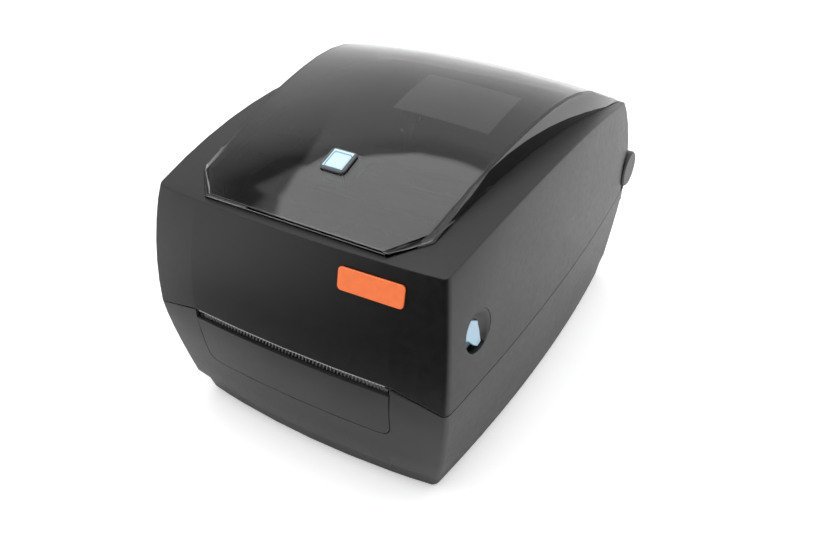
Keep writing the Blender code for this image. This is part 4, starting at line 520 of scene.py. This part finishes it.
def recess_skin(side):
    """The cover's outer face across the recess, as x = a + b * y + c * z around its centre."""
    cover = skin_of("top_cover")
    reach = RECESS_RADIUS + 1.5

    def at(y, z):
        return abs(first_hit(cover, (side * FAR, RECESS_Y + y, RECESS_Z + z), (-side, 0.0, 0.0)).x)
    front, rear, low, high = at(-reach, 0.0), at(reach, 0.0), at(0.0, -reach), at(0.0, reach)
    middle, b, c = (front + rear) / 2, (rear - front) / (2 * reach), (high - low) / (2 * reach)
    return lambda y, z: middle + b * (y - RECESS_Y) + c * (z - RECESS_Z)


def pad_outline():
    """The pad's edge: its front follows the recess, held back by the latch's own travel."""
    reach, points = RECESS_RADIUS - PAD_GAP, []
    for i in range(PAD_ARC_STEPS + 1):
        angle = math.radians(PAD_ARC[0] + (PAD_ARC[1] - PAD_ARC[0]) * i / PAD_ARC_STEPS)
        y, z = reach * math.cos(angle), RECESS_Z + reach * math.sin(angle) - LATCH_AXIS_Z
        points.append((RECESS_Y + y * math.cos(LATCH_SWING) - z * math.sin(LATCH_SWING),
                       LATCH_AXIS_Z + y * math.sin(LATCH_SWING) + z * math.cos(LATCH_SWING)))
    return [PAD_TOP, *points, *PAD_LOW, *PAD_REAR]


def inset_outline(points, inset):
    """The outline drawn in by `inset` along its corners' bisectors, less at a very sharp corner."""
    drawn = []
    for i, point in enumerate(points):
        here, before, after = Vector(point), Vector(points[i - 1]), Vector(points[(i + 1) % len(points)])
        first, second = (here - before).normalized(), (after - here).normalized()
        inward = Vector((-first.y - second.y, first.x + second.x)).normalized()
        share = max(inward.dot(Vector((-first.y, first.x))), 0.4)
        drawn.append(tuple(here + inward * inset / share))
    return drawn


def build_latch_pad(side, name):
    """Raised finger pad on the latch tab, close under the cover's face."""
    skin = recess_skin(side)
    outline = pad_outline()
    bm = bmesh.new()

    def ring(inset, depth=None):
        return [(side * (PAD_FOOT_X if depth is None else skin(y, z) - depth), y, z)
                for y, z in inset_outline(outline, inset)]
    loft(bm, [ring(0.0), ring(0.0, PAD_FACE + PAD_BEVEL), ring(0.25 * PAD_BEVEL, PAD_FACE + 0.25 * PAD_BEVEL),
              ring(PAD_BEVEL, PAD_FACE)])
    piece(f"latch_pad_{name}", "latch", bm, LATCH_BLUE)


def along_knots(knots, share):
    """Point of the polyline at a share of its length."""
    lengths = [(b - a).length for a, b in zip(knots, knots[1:])]
    left = sum(lengths) * share
    for a, b, length in zip(knots, knots[1:], lengths):
        if left <= length or b is knots[-1]:
            return a.lerp(b, min(left / length, 1.0))
        left -= length


def build_latch_dish(side, name):
    """Dished finger well around the pad's top and rear, which runs out into the cover's face."""
    skin = recess_skin(side)
    knots = [Vector(p) for p in (*PAD_REAR, PAD_TOP, DISH_END)]
    rings = []
    for i in range(DISH_STATIONS + 1):
        near = along_knots(knots, i / DISH_STATIONS)
        angle = math.radians(DISH_ARC[0] + (DISH_ARC[1] - DISH_ARC[0]) * i / DISH_STATIONS)
        rim = (RECESS_RADIUS - 0.05) * Vector((math.cos(angle), math.sin(angle)))
        far = Vector((RECESS_Y, RECESS_Z)) + rim
        towards = far - near
        width = towards.length
        if width > 0.01:
            near = near + towards.normalized() * min(DISH_GAP, width / 2)
        top, bottom = [], []
        for k in range(DISH_STEPS + 1):
            share = k / DISH_STEPS
            y, z = near.lerp(far, share)
            sink = DISH_DEPTH * (1.0 + math.cos(math.pi * share)) / 2 * min(width / DISH_FULL, 1.0)
            x = skin(y, z) - DISH_RIM - sink
            top.append((side * x, y, z))
            bottom.append((side * (x - DISH_THICK), y, z))
        rings.append(top + bottom[::-1])
    bm = bmesh.new()
    loft(bm, rings)
    piece(f"latch_dish_{name}", "cover", bm, CHARCOAL)


for side, name in ((-1, "left"), (1, "right")):
    build_latch_pad(side, name)
    build_latch_dish(side, name)


# ---------------------------------------------------------------- fastenings and fittings
SEAT_SINK = 0.05                # how far a fitting sits in what carries it
DECK_FROM_Z = 80.0              # height above the deck, from which it is searched
# Screws: radius and height of the head, then where the screws stand.
DECK_SCREW, DECK_SCREW_X, DECK_SCREW_Y = (3.1, 1.9), 80.0, (-70.0, 25.0, 118.0)
PLATE_SCREW, PLATE_SCREW_X, PLATE_SCREW_Y = (2.8, 1.2), 72.0, (-84.0, 84.0)
REAR_SCREW, REAR_SCREW_X, REAR_SCREW_Z = (2.4, 1.0), 82.4, 30.0
FOOT_X, FOOT_Y = 66.0, (-103.8, 110.2)
COLLAR_SEAT = 9.6               # radius at which the plate's height is taken
COLLAR_PROFILE = ((8.5, 0.0), (8.5, 0.6), (8.8, 0.9), (10.2, 0.9), (10.6, 0.5), (10.6, 0.0))   # radius, drop
RIB_COUNT, RIB_PITCH, RIB_HALF_X, RIB_HALF_Y, RIB_HEIGHT = 11, 6.0, 38.0, 1.0, 0.7
HUB_FROM_X, HUB_PLACE = 30.0, (16.2, 84.0)
HUB_ARMS, HUB_ARM_LOW, HUB_ARM_HIGH = 6, (5.4, -0.5, 1.3), (9.6, 0.5, 3.5)
HUB_PROFILE = ((0.0, -0.05), (13.0, -0.05), (13.0, 0.8), (12.4, 1.3), (10.4, 1.3), (10.0, 1.8), (9.6, 3.2),
               (8.8, 3.8), (6.0, 3.8), (5.6, 3.3), (5.6, 1.6), (0.0, 1.6))
LEAF_COUNT, LEAF_END, LEAF_NOSE, LEAF_FROM = 3, 46.0, 30.0, 60.0
LEAF_HALF, LEAF_HEIGHT, NOSE_HALF, NOSE_HEIGHT, LEAF_SINK = 1.4, 0.9, 2.4, 1.6, 0.4
SPRING_NEAR, SPRING_FAR, SPRING_TURNS, SPRING_WIRE, SPRING_GAP = 66.0, 73.0, 7.0, 0.4, 0.9
SPRING_TAIL = ((0.0, 0.0), (0.3, 4.0), (1.7, 9.0))      # the tail's places outwards and up from the coil
FLAP_HALF, FLAP_LOW, FLAP_HIGH, FLAP_FRONT, FLAP_REAR, FLAP_RAIL = 57.0, 65.6, 74.0, 0.9, 0.2, 1.6
LIP_HALF, LIP_STEPS, LIP_WALL_Z = 88.0, 26, 82.5
# The lip's section as (y from the wall, z).
LIP_SECTION = ((-0.26, 84.5), (-1.16, 84.5), (-0.8, 81.0), (-2.6, 76.0), (-1.8, 76.0), (0.2, 81.4))
MARK_HEIGHT, BAR_Z, BAR_HALF_X, BAR_HALF_Y = 0.12, 46.0, 0.3, 1.7
RING_Z, RING_RADII, RING_SIDES = 37.0, (1.3, 1.8), 28


def seated_screw(bm, tree, start, towards, size):
    """Screw whose head sits on the first surface found from `start` along `towards`."""
    place = first_hit(tree, start, towards) + SEAT_SINK * Vector(towards)
    screw(bm, seat(place, -Vector(towards)), *size)


def build_screws():
    """Screws of the deck, the bottom plate and the base's rear."""
    deck, plate, base = skin_of("deck"), skin_of("bottom_plate"), skin_of("base_housing")
    above, below, behind = bmesh.new(), bmesh.new(), bmesh.new()
    for side in (-1, 1):
        for y in DECK_SCREW_Y:
            seated_screw(above, deck, (side * DECK_SCREW_X, y, DECK_FROM_Z), (0.0, 0.0, -1.0), DECK_SCREW)
        for y in PLATE_SCREW_Y:
            seated_screw(below, plate, (side * PLATE_SCREW_X, y, BELOW), (0.0, 0.0, 1.0), PLATE_SCREW)
        seated_screw(behind, base, (side * REAR_SCREW_X, FAR, REAR_SCREW_Z), (0.0, -1.0, 0.0), REAR_SCREW)
    piece("deck_screws", "base", above, STEEL)
    piece("bottom_screws", "base", below, STEEL)
    piece("rear_screws", "base", behind, STEEL)


def build_underside():
    """Collars around the feet and a patch of low ribs in the middle of the bottom plate."""
    plate = skin_of("bottom_plate")
    collars, ribs = bmesh.new(), bmesh.new()
    for x in (-FOOT_X, FOOT_X):
        for y in FOOT_Y:
            top = first_hit(plate, (x + COLLAR_SEAT, y, BELOW), (0.0, 0.0, 1.0)).z
            rings = [ring_of(radius, top - drop, 32) for radius, drop in COLLAR_PROFILE]
            loft(collars, rings, Matrix.Translation(Vector((x, y, 0.0)) * MM), closed=True)
    for i in range(RIB_COUNT):
        y = RIB_PITCH * (i - (RIB_COUNT - 1) / 2)
        top = first_hit(plate, (0.0, y, BELOW), (0.0, 0.0, 1.0)).z
        block(ribs, (-RIB_HALF_X, y - RIB_HALF_Y, top - RIB_HEIGHT),
              (RIB_HALF_X, y + RIB_HALF_Y, top + SEAT_SINK), 0.4)
    piece("foot_collars", "base", collars, BASE_TONE)
    piece("bottom_ribs", "base", ribs, BASE_TONE)


def build_guide_hubs():
    """Stepped hubs on the roll guides, which the label roll's core sits on."""
    for side, name in ((-1, "left"), (1, "right")):
        guide = skin_of(f"guide_{name}")
        place = first_hit(guide, (side * HUB_FROM_X, *HUB_PLACE), (side, 0.0, 0.0))
        hub_frame = seat(place, (-side, 0.0, 0.0))
        bm = bmesh.new()
        lathe(bm, HUB_PROFILE, hub_frame, 40)
        for i in range(HUB_ARMS):
            turn = Matrix.Rotation(math.tau * i / HUB_ARMS, 4, "Z")
            block(bm, HUB_ARM_LOW, HUB_ARM_HIGH, 0.15, hub_frame @ turn)
        piece(f"guide_hub_{name}", f"guide_{name}", bm, BEZEL_GREY)


def build_spindle_ribs():
    """Core-gripping leaves along the two ribbon spindles."""
    for node in ("supply_spindle", "takeup_spindle"):
        low, high = (Vector(corner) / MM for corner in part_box(node))
        y, z = (low.y + high.y) / 2, (low.z + high.z) / 2
        radius = z - first_hit(skin_of(node), (0.0, y, z - LEAF_FROM), (0.0, 0.0, 1.0)).z
        axis = Matrix.Translation(Vector((0.0, y, z)) * MM)
        foot = radius - LEAF_SINK
        bm = bmesh.new()
        for i in range(LEAF_COUNT):
            turn = axis @ Matrix.Rotation(math.tau * i / LEAF_COUNT, 4, "X")
            block(bm, (-LEAF_END, -LEAF_HALF, foot), (LEAF_END, LEAF_HALF, radius + LEAF_HEIGHT), 0.4, turn)
            for end in (-1, 1):
                near, far = sorted((end * LEAF_NOSE, end * LEAF_END))
                block(bm, (near, -NOSE_HALF, foot), (far, NOSE_HALF, radius + NOSE_HEIGHT), 0.5, turn)
        piece(f"{node}_leaves", node, bm, INNER_BLACK)


def build_springs():
    """Return springs around the latch shaft."""
    low, high = (Vector(corner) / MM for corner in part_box("latch_shaft"))
    y, z, radius = (low.y + high.y) / 2, (low.z + high.z) / 2, (high.z - low.z) / 2 + SPRING_GAP
    bm = bmesh.new()
    for side in (-1, 1):
        coil(bm, (side * SPRING_NEAR, y, z), (side * SPRING_FAR, y, z), radius, SPRING_WIRE, SPRING_TURNS)
        tail_x = side * (SPRING_NEAR + SPRING_WIRE)
        tube(bm, [(tail_x, y + radius + out, z + up) for out, up in SPRING_TAIL], SPRING_WIRE, 8)
    piece("latch_springs", "cover", bm, STEEL)


def build_slot_flap():
    """Rubber dust flap inside the rear slot for fan-fold labels."""
    wall = first_hit(skin_of("base_housing"), (0.0, REAR_FROM_Y, FLAP_HIGH - 1.0), (0.0, 1.0, 0.0)).y
    bm = bmesh.new()
    block(bm, (-FLAP_HALF, wall - FLAP_FRONT, FLAP_LOW), (FLAP_HALF, wall - FLAP_REAR, FLAP_HIGH), 0.2)
    block(bm, (-FLAP_HALF, wall - FLAP_RAIL, FLAP_HIGH - FLAP_RAIL),
          (FLAP_HALF, wall + SEAT_SINK, FLAP_HIGH), 0.3)
    piece("slot_flap", "base", bm, RUBBER)


def build_dust_lip():
    """Lip on the cover's rear wall, which closes the gap over the base's rear wall and swings clear of it."""
    cover = skin_of("top_cover")
    rings = []
    for i in range(LIP_STEPS + 1):
        x = LIP_HALF * (2 * i / LIP_STEPS - 1)
        wall = first_hit(cover, (x, REAR_FROM_Y, LIP_WALL_Z), (0.0, 1.0, 0.0)).y
        rings.append([(x, wall + y, z) for y, z in LIP_SECTION])
    bm = bmesh.new()
    loft(bm, rings)
    piece("dust_lip", "cover", bm, RUBBER)


def build_switch_marks():
    """Bar and ring on the power switch's two ends."""
    rocker = skin_of("power_rocker")
    x = sum(corner[0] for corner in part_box("power_rocker")) / 2 / MM
    bm = bmesh.new()

    def face_at(z):
        at, normal = rocker.ray_cast(Vector((x, FAR, z)) * MM, Vector((0.0, -1.0, 0.0)))[:2]
        return seat(at / MM, normal)
    block(bm, (-BAR_HALF_X, -BAR_HALF_Y, -SEAT_SINK), (BAR_HALF_X, BAR_HALF_Y, MARK_HEIGHT), 0.08,
          face_at(BAR_Z))
    inner, outer = RING_RADII
    section = ((inner, -SEAT_SINK), (inner, MARK_HEIGHT), (outer, MARK_HEIGHT), (outer, -SEAT_SINK))
    rings = [ring_of(radius, height, RING_SIDES) for radius, height in section]
    loft(bm, rings, face_at(RING_Z), closed=True)
    piece("switch_marks", "power_rocker", bm, MARK_WHITE)


build_screws()
build_underside()
build_guide_hubs()
build_spindle_ribs()
build_springs()
build_slot_flap()
build_dust_lip()
build_switch_marks()


# ---------------------------------------------------------------- main board's parts
# Chips: place, half sizes, height, legs on a side, pitch.
CHIPS = ((-12.0, 30.0, 10.0, 10.0, 1.5, 22, 0.8), (22.0, 38.0, 5.0, 8.5, 1.2, 20, 0.8),
         (22.0, 12.0, 3.0, 4.5, 1.6, 8, 1.1), (-40.0, 5.0, 4.0, 7.0, 1.8, 12, 1.1),
         (40.0, 70.0, 3.0, 3.5, 1.4, 4, 1.27), (-38.0, 62.0, 3.6, 5.2, 1.6, 8, 1.27))
# Capacitors: place, radius, height.
CAPACITORS = ((45.0, 96.0, 5.0, 11.0), (33.0, 96.0, 4.0, 9.0), (-47.0, 90.0, 4.0, 9.0),
              (-47.0, 78.0, 3.1, 7.0), (48.0, 50.0, 3.1, 7.0), (48.0, 40.0, 3.1, 7.0))
# Headers: place, number of pins.
HEADERS = ((-35.0, -32.0, 6), (0.0, -32.0, 10), (38.0, -32.0, 4), (-46.0, 32.0, 3))
HEADER_PITCH = 2.5
HEADER_WALLS = ((-2.9, -2.3, 6.0), (2.3, 2.9, 6.0), (-2.4, 2.4, 1.6))   # near and far side, height
PIN_HALF, PIN_LOW, PIN_HIGH = 0.32, 1.5, 5.2
LEG_SHARE, LEG_ROOT, LEG_REACH, LEG_HEIGHT = 0.22, 0.1, 1.0, 0.35       # share of the pitch, then mm
CRYSTAL_LOW, CRYSTAL_HIGH, CRYSTAL_HEIGHT = (-4.0, 54.0), (7.0, 58.6), 3.4


def build_board_parts():
    """Chips, capacitors, headers and a crystal on the main board, below the deck."""
    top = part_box("main_board")[1][2] / MM
    chips, cans, pins, shells = bmesh.new(), bmesh.new(), bmesh.new(), bmesh.new()

    def chip(x, y, half_x, half_y, height, legs, pitch):
        block(chips, (x - half_x, y - half_y, top + 0.15), (x + half_x, y + half_y, top + height), 0.15)
        for side in (-1, 1):
            for i in range(legs):
                along, half = y + (i - (legs - 1) / 2) * pitch, LEG_SHARE * pitch
                inner, outer = sorted((x + side * (half_x - LEG_ROOT), x + side * (half_x + LEG_REACH)))
                block(pins, (inner, along - half, top), (outer, along + half, top + LEG_HEIGHT), 0.05)

    def capacitor(x, y, radius, height):
        frame = Matrix.Translation(Vector((x, y, top)) * MM)
        lathe(cans, [(0.0, 0.0), (radius, 0.0), (radius, 0.8), (radius - 0.3, 1.2), (radius, 1.6),
                     (radius, height - 0.4), (radius - 0.4, height), (radius - 0.9, height - 0.15),
                     (0.0, height - 0.15)], frame, 24)

    def header(x, y, count):
        length = count * HEADER_PITCH + 2.0
        for near, far, height in HEADER_WALLS:
            block(shells, (x - length / 2, y + near, top), (x + length / 2, y + far, top + height), 0.1)
        for i in range(count):
            along = x + (i - (count - 1) / 2) * HEADER_PITCH
            block(pins, (along - PIN_HALF, y - PIN_HALF, top + PIN_LOW),
                  (along + PIN_HALF, y + PIN_HALF, top + PIN_HIGH), 0.1)
    for row in CHIPS:
        chip(*row)
    for row in CAPACITORS:
        capacitor(*row)
    for row in HEADERS:
        header(*row)
    block(pins, (*CRYSTAL_LOW, top), (*CRYSTAL_HIGH, top + CRYSTAL_HEIGHT), 1.2)
    piece("board_chips", "base", chips, INNER_BLACK)
    piece("board_capacitors", "base", cans, ALUMINIUM)
    piece("board_pins", "base", pins, STEEL)
    piece("board_headers", "base", shells, NYLON)


build_board_parts()


# ---------------------------------------------------------------- studio
FLOOR_TONE = (0.94, 0.942, 0.95)
FLOOR_GLOW = 0.28           # keeps the sweep white where it is seen, also through glass
FLOOR_GLOSS_GLOW = 0.35     # the same in the printer's gloss, for the floor to its right
GLOSS_SIDE = (0.15, 0.21)   # x over which that begins
# Height bands of the room's light, as (height along BAND_TILT, level): the room towards the left has a
# dark gap below the ceiling panel, and the room towards the right only a dim one.
LEFT_BANDS = ((0.0, 1.2), (0.30, 1.05), (0.60, 0.90), (0.72, 0.72), (0.768, 0.44), (0.788, 0.19),
              (0.802, 0.19), (0.806, 0.70), (0.88, 0.70), (0.92, 2.0))
RIGHT_BANDS = ((0.0, 1.2), (0.30, 1.05), (0.60, 0.90), (0.765, 0.80), (0.79, 0.60), (0.805, 0.60),
               (0.811, 2.0))
BAND_TILT = (-0.10, -0.05, 1.0)
LEFT_FROM, LEFT_TO = -0.572, -0.580       # x of the direction where the right's bands turn into the left's
FLAG_LEFT, FLAG_RIGHT, FLAG_Y, FLAG_TOP = -0.12, 0.90, -0.42, 1.2      # metres, as all of the studio
LAID_LEFT, LAID_REAR, LAID_Z = -0.22, -0.21, 0.001
FLOOR_REACH, FLOOR_Z = 6.0, -0.0002


def stage_plane(name, corners, look):
    """Flat sheet of the studio, which isn't part of the printer."""
    bm = bmesh.new()
    bm.faces.new([bm.verts.new(corner) for corner in corners])
    mesh = bpy.data.meshes.new(name)
    bm.to_mesh(mesh)
    bm.free()
    plane = bpy.data.objects.new(name, mesh)
    bpy.context.scene.collection.objects.link(plane)
    mesh.materials.append(look)
    return plane


def build_floor():
    """White floor that keeps the printer's shadow."""
    made, g = material("floor_sweep")
    diffuse = g.add("ShaderNodeBsdfDiffuse", {"Color": (*FLOOR_TONE, 1.0)})
    path = g.add("ShaderNodeLightPath")
    direct = g.math("MAXIMUM", path.outputs["Is Camera Ray"], path.outputs["Is Transmission Ray"])
    across = g.add("ShaderNodeSeparateXYZ", {"Vector": g.place()}).outputs["X"]
    gloss = g.ramp(across, *GLOSS_SIDE, 0.0, FLOOR_GLOSS_GLOW)
    level = g.math("ADD", g.math("MULTIPLY", direct, FLOOR_GLOW),
                   g.math("MULTIPLY", path.outputs["Is Glossy Ray"], gloss))
    glow = g.add("ShaderNodeEmission", {"Color": (1.0, 1.0, 1.0, 1.0), "Strength": level})
    both = g.add("ShaderNodeAddShader", {0: diffuse.outputs[0], 1: glow.outputs[0]})
    g.add("ShaderNodeOutputMaterial", {"Surface": both.outputs[0]})
    stage_plane("floor", [(x * FLOOR_REACH, y * FLOOR_REACH, FLOOR_Z)
                          for x, y in ((-1, -1), (1, -1), (1, 1), (-1, 1))], made)


def build_flags():
    """Black cards, one standing behind the camera and one lying before the printer; only gloss sees them."""
    made, g = material("black_flag")
    black = g.add("ShaderNodeBsdfDiffuse", {"Color": (0.0, 0.0, 0.0, 1.0)})
    g.add("ShaderNodeOutputMaterial", {"Surface": black.outputs[0]})
    standing = [(FLAG_LEFT, FLAG_Y, 0.0), (FLAG_RIGHT, FLAG_Y, 0.0),
                (FLAG_RIGHT, FLAG_Y, FLAG_TOP), (FLAG_LEFT, FLAG_Y, FLAG_TOP)]
    lying = [(LAID_LEFT, FLAG_Y, LAID_Z), (FLAG_RIGHT, FLAG_Y, LAID_Z),
             (FLAG_RIGHT, LAID_REAR, LAID_Z), (LAID_LEFT, LAID_REAR, LAID_Z)]
    for name, corners in (("flag_standing", standing), ("flag_laid", lying)):
        flag = stage_plane(name, corners, made)
        flag.visible_camera = flag.visible_diffuse = flag.visible_transmission = flag.visible_shadow = False


def level_ramp(g, height, bands):
    """Level of the room's light between the bands' heights."""
    node = g.add("ShaderNodeValToRGB", {"Fac": height})
    ramp = node.color_ramp
    ramp.elements[0].position = bands[0][0]
    ramp.elements[0].color = (bands[0][1],) * 3 + (1.0,)
    ramp.elements[1].position = bands[-1][0]
    ramp.elements[1].color = (bands[-1][1],) * 3 + (1.0,)
    for position, level in bands[1:-1]:
        ramp.elements.new(position).color = (level, level, level, 1.0)
    return node.outputs["Color"]


def build_world():
    """White room: bright ceiling panel, a dim gap below it, and a white sweep down to the horizon."""
    world = bpy.data.worlds.new("studio")
    world.use_nodes = True
    bpy.context.scene.world = world
    g = Graph(world.node_tree)
    direction = g.add("ShaderNodeTexCoord").outputs["Generated"]
    tilted = g.add("ShaderNodeVectorMath", {0: direction, 1: BAND_TILT}, operation="DOT_PRODUCT")
    height = tilted.outputs["Value"]
    across = g.add("ShaderNodeSeparateXYZ", {"Vector": direction}).outputs["X"]
    levels = g.mix(g.ramp(across, LEFT_FROM, LEFT_TO), level_ramp(g, height, RIGHT_BANDS),
                   level_ramp(g, height, LEFT_BANDS))
    soft = g.add("ShaderNodeBackground", {"Color": levels, "Strength": 1.0})
    white = g.add("ShaderNodeBackground", {"Color": (1.0, 1.0, 1.0, 1.0), "Strength": 1.0})
    camera = g.add("ShaderNodeLightPath").outputs["Is Camera Ray"]
    mixed = g.add("ShaderNodeMixShader", {0: camera, 1: soft.outputs[0], 2: white.outputs[0]})
    g.add("ShaderNodeOutputWorld", {"Surface": mixed.outputs[0]})


build_floor()
build_flags()
build_world()


# ---------------------------------------------------------------- camera
CAMERA_PLACE = (0.2285, -0.4020, 0.3613)
CAMERA_YAW, CAMERA_PITCH, CAMERA_ROLL = 30.68, 34.83, 0.127     # degrees
FOCAL_PIXELS, FRAME_PIXELS, SENSOR = 800.0, 818.0, 36.0


def build_camera():
    """The camera that took the photograph, as solved from its straight edges."""
    yaw, pitch, roll = (math.radians(a) for a in (CAMERA_YAW, CAMERA_PITCH, CAMERA_ROLL))
    forward = Vector((-math.sin(yaw) * math.cos(pitch), math.cos(yaw) * math.cos(pitch), -math.sin(pitch)))
    right = Vector((math.cos(yaw), math.sin(yaw), 0.0))
    up = right.cross(forward)
    x_axis = math.cos(roll) * right + math.sin(roll) * up
    y_axis = math.cos(roll) * up - math.sin(roll) * right
    data = bpy.data.cameras.new("camera")
    data.sensor_width = SENSOR
    data.lens = FOCAL_PIXELS / FRAME_PIXELS * SENSOR
    data.clip_start, data.clip_end = 0.01, 50.0
    camera = bpy.data.objects.new("camera", data)
    camera.matrix_world = Matrix((x_axis, y_axis, -forward)).transposed().to_4x4()
    camera.location = CAMERA_PLACE
    bpy.context.scene.collection.objects.link(camera)
    bpy.context.scene.camera = camera


build_camera()
bpy.context.scene.view_settings.view_transform = "Standard"
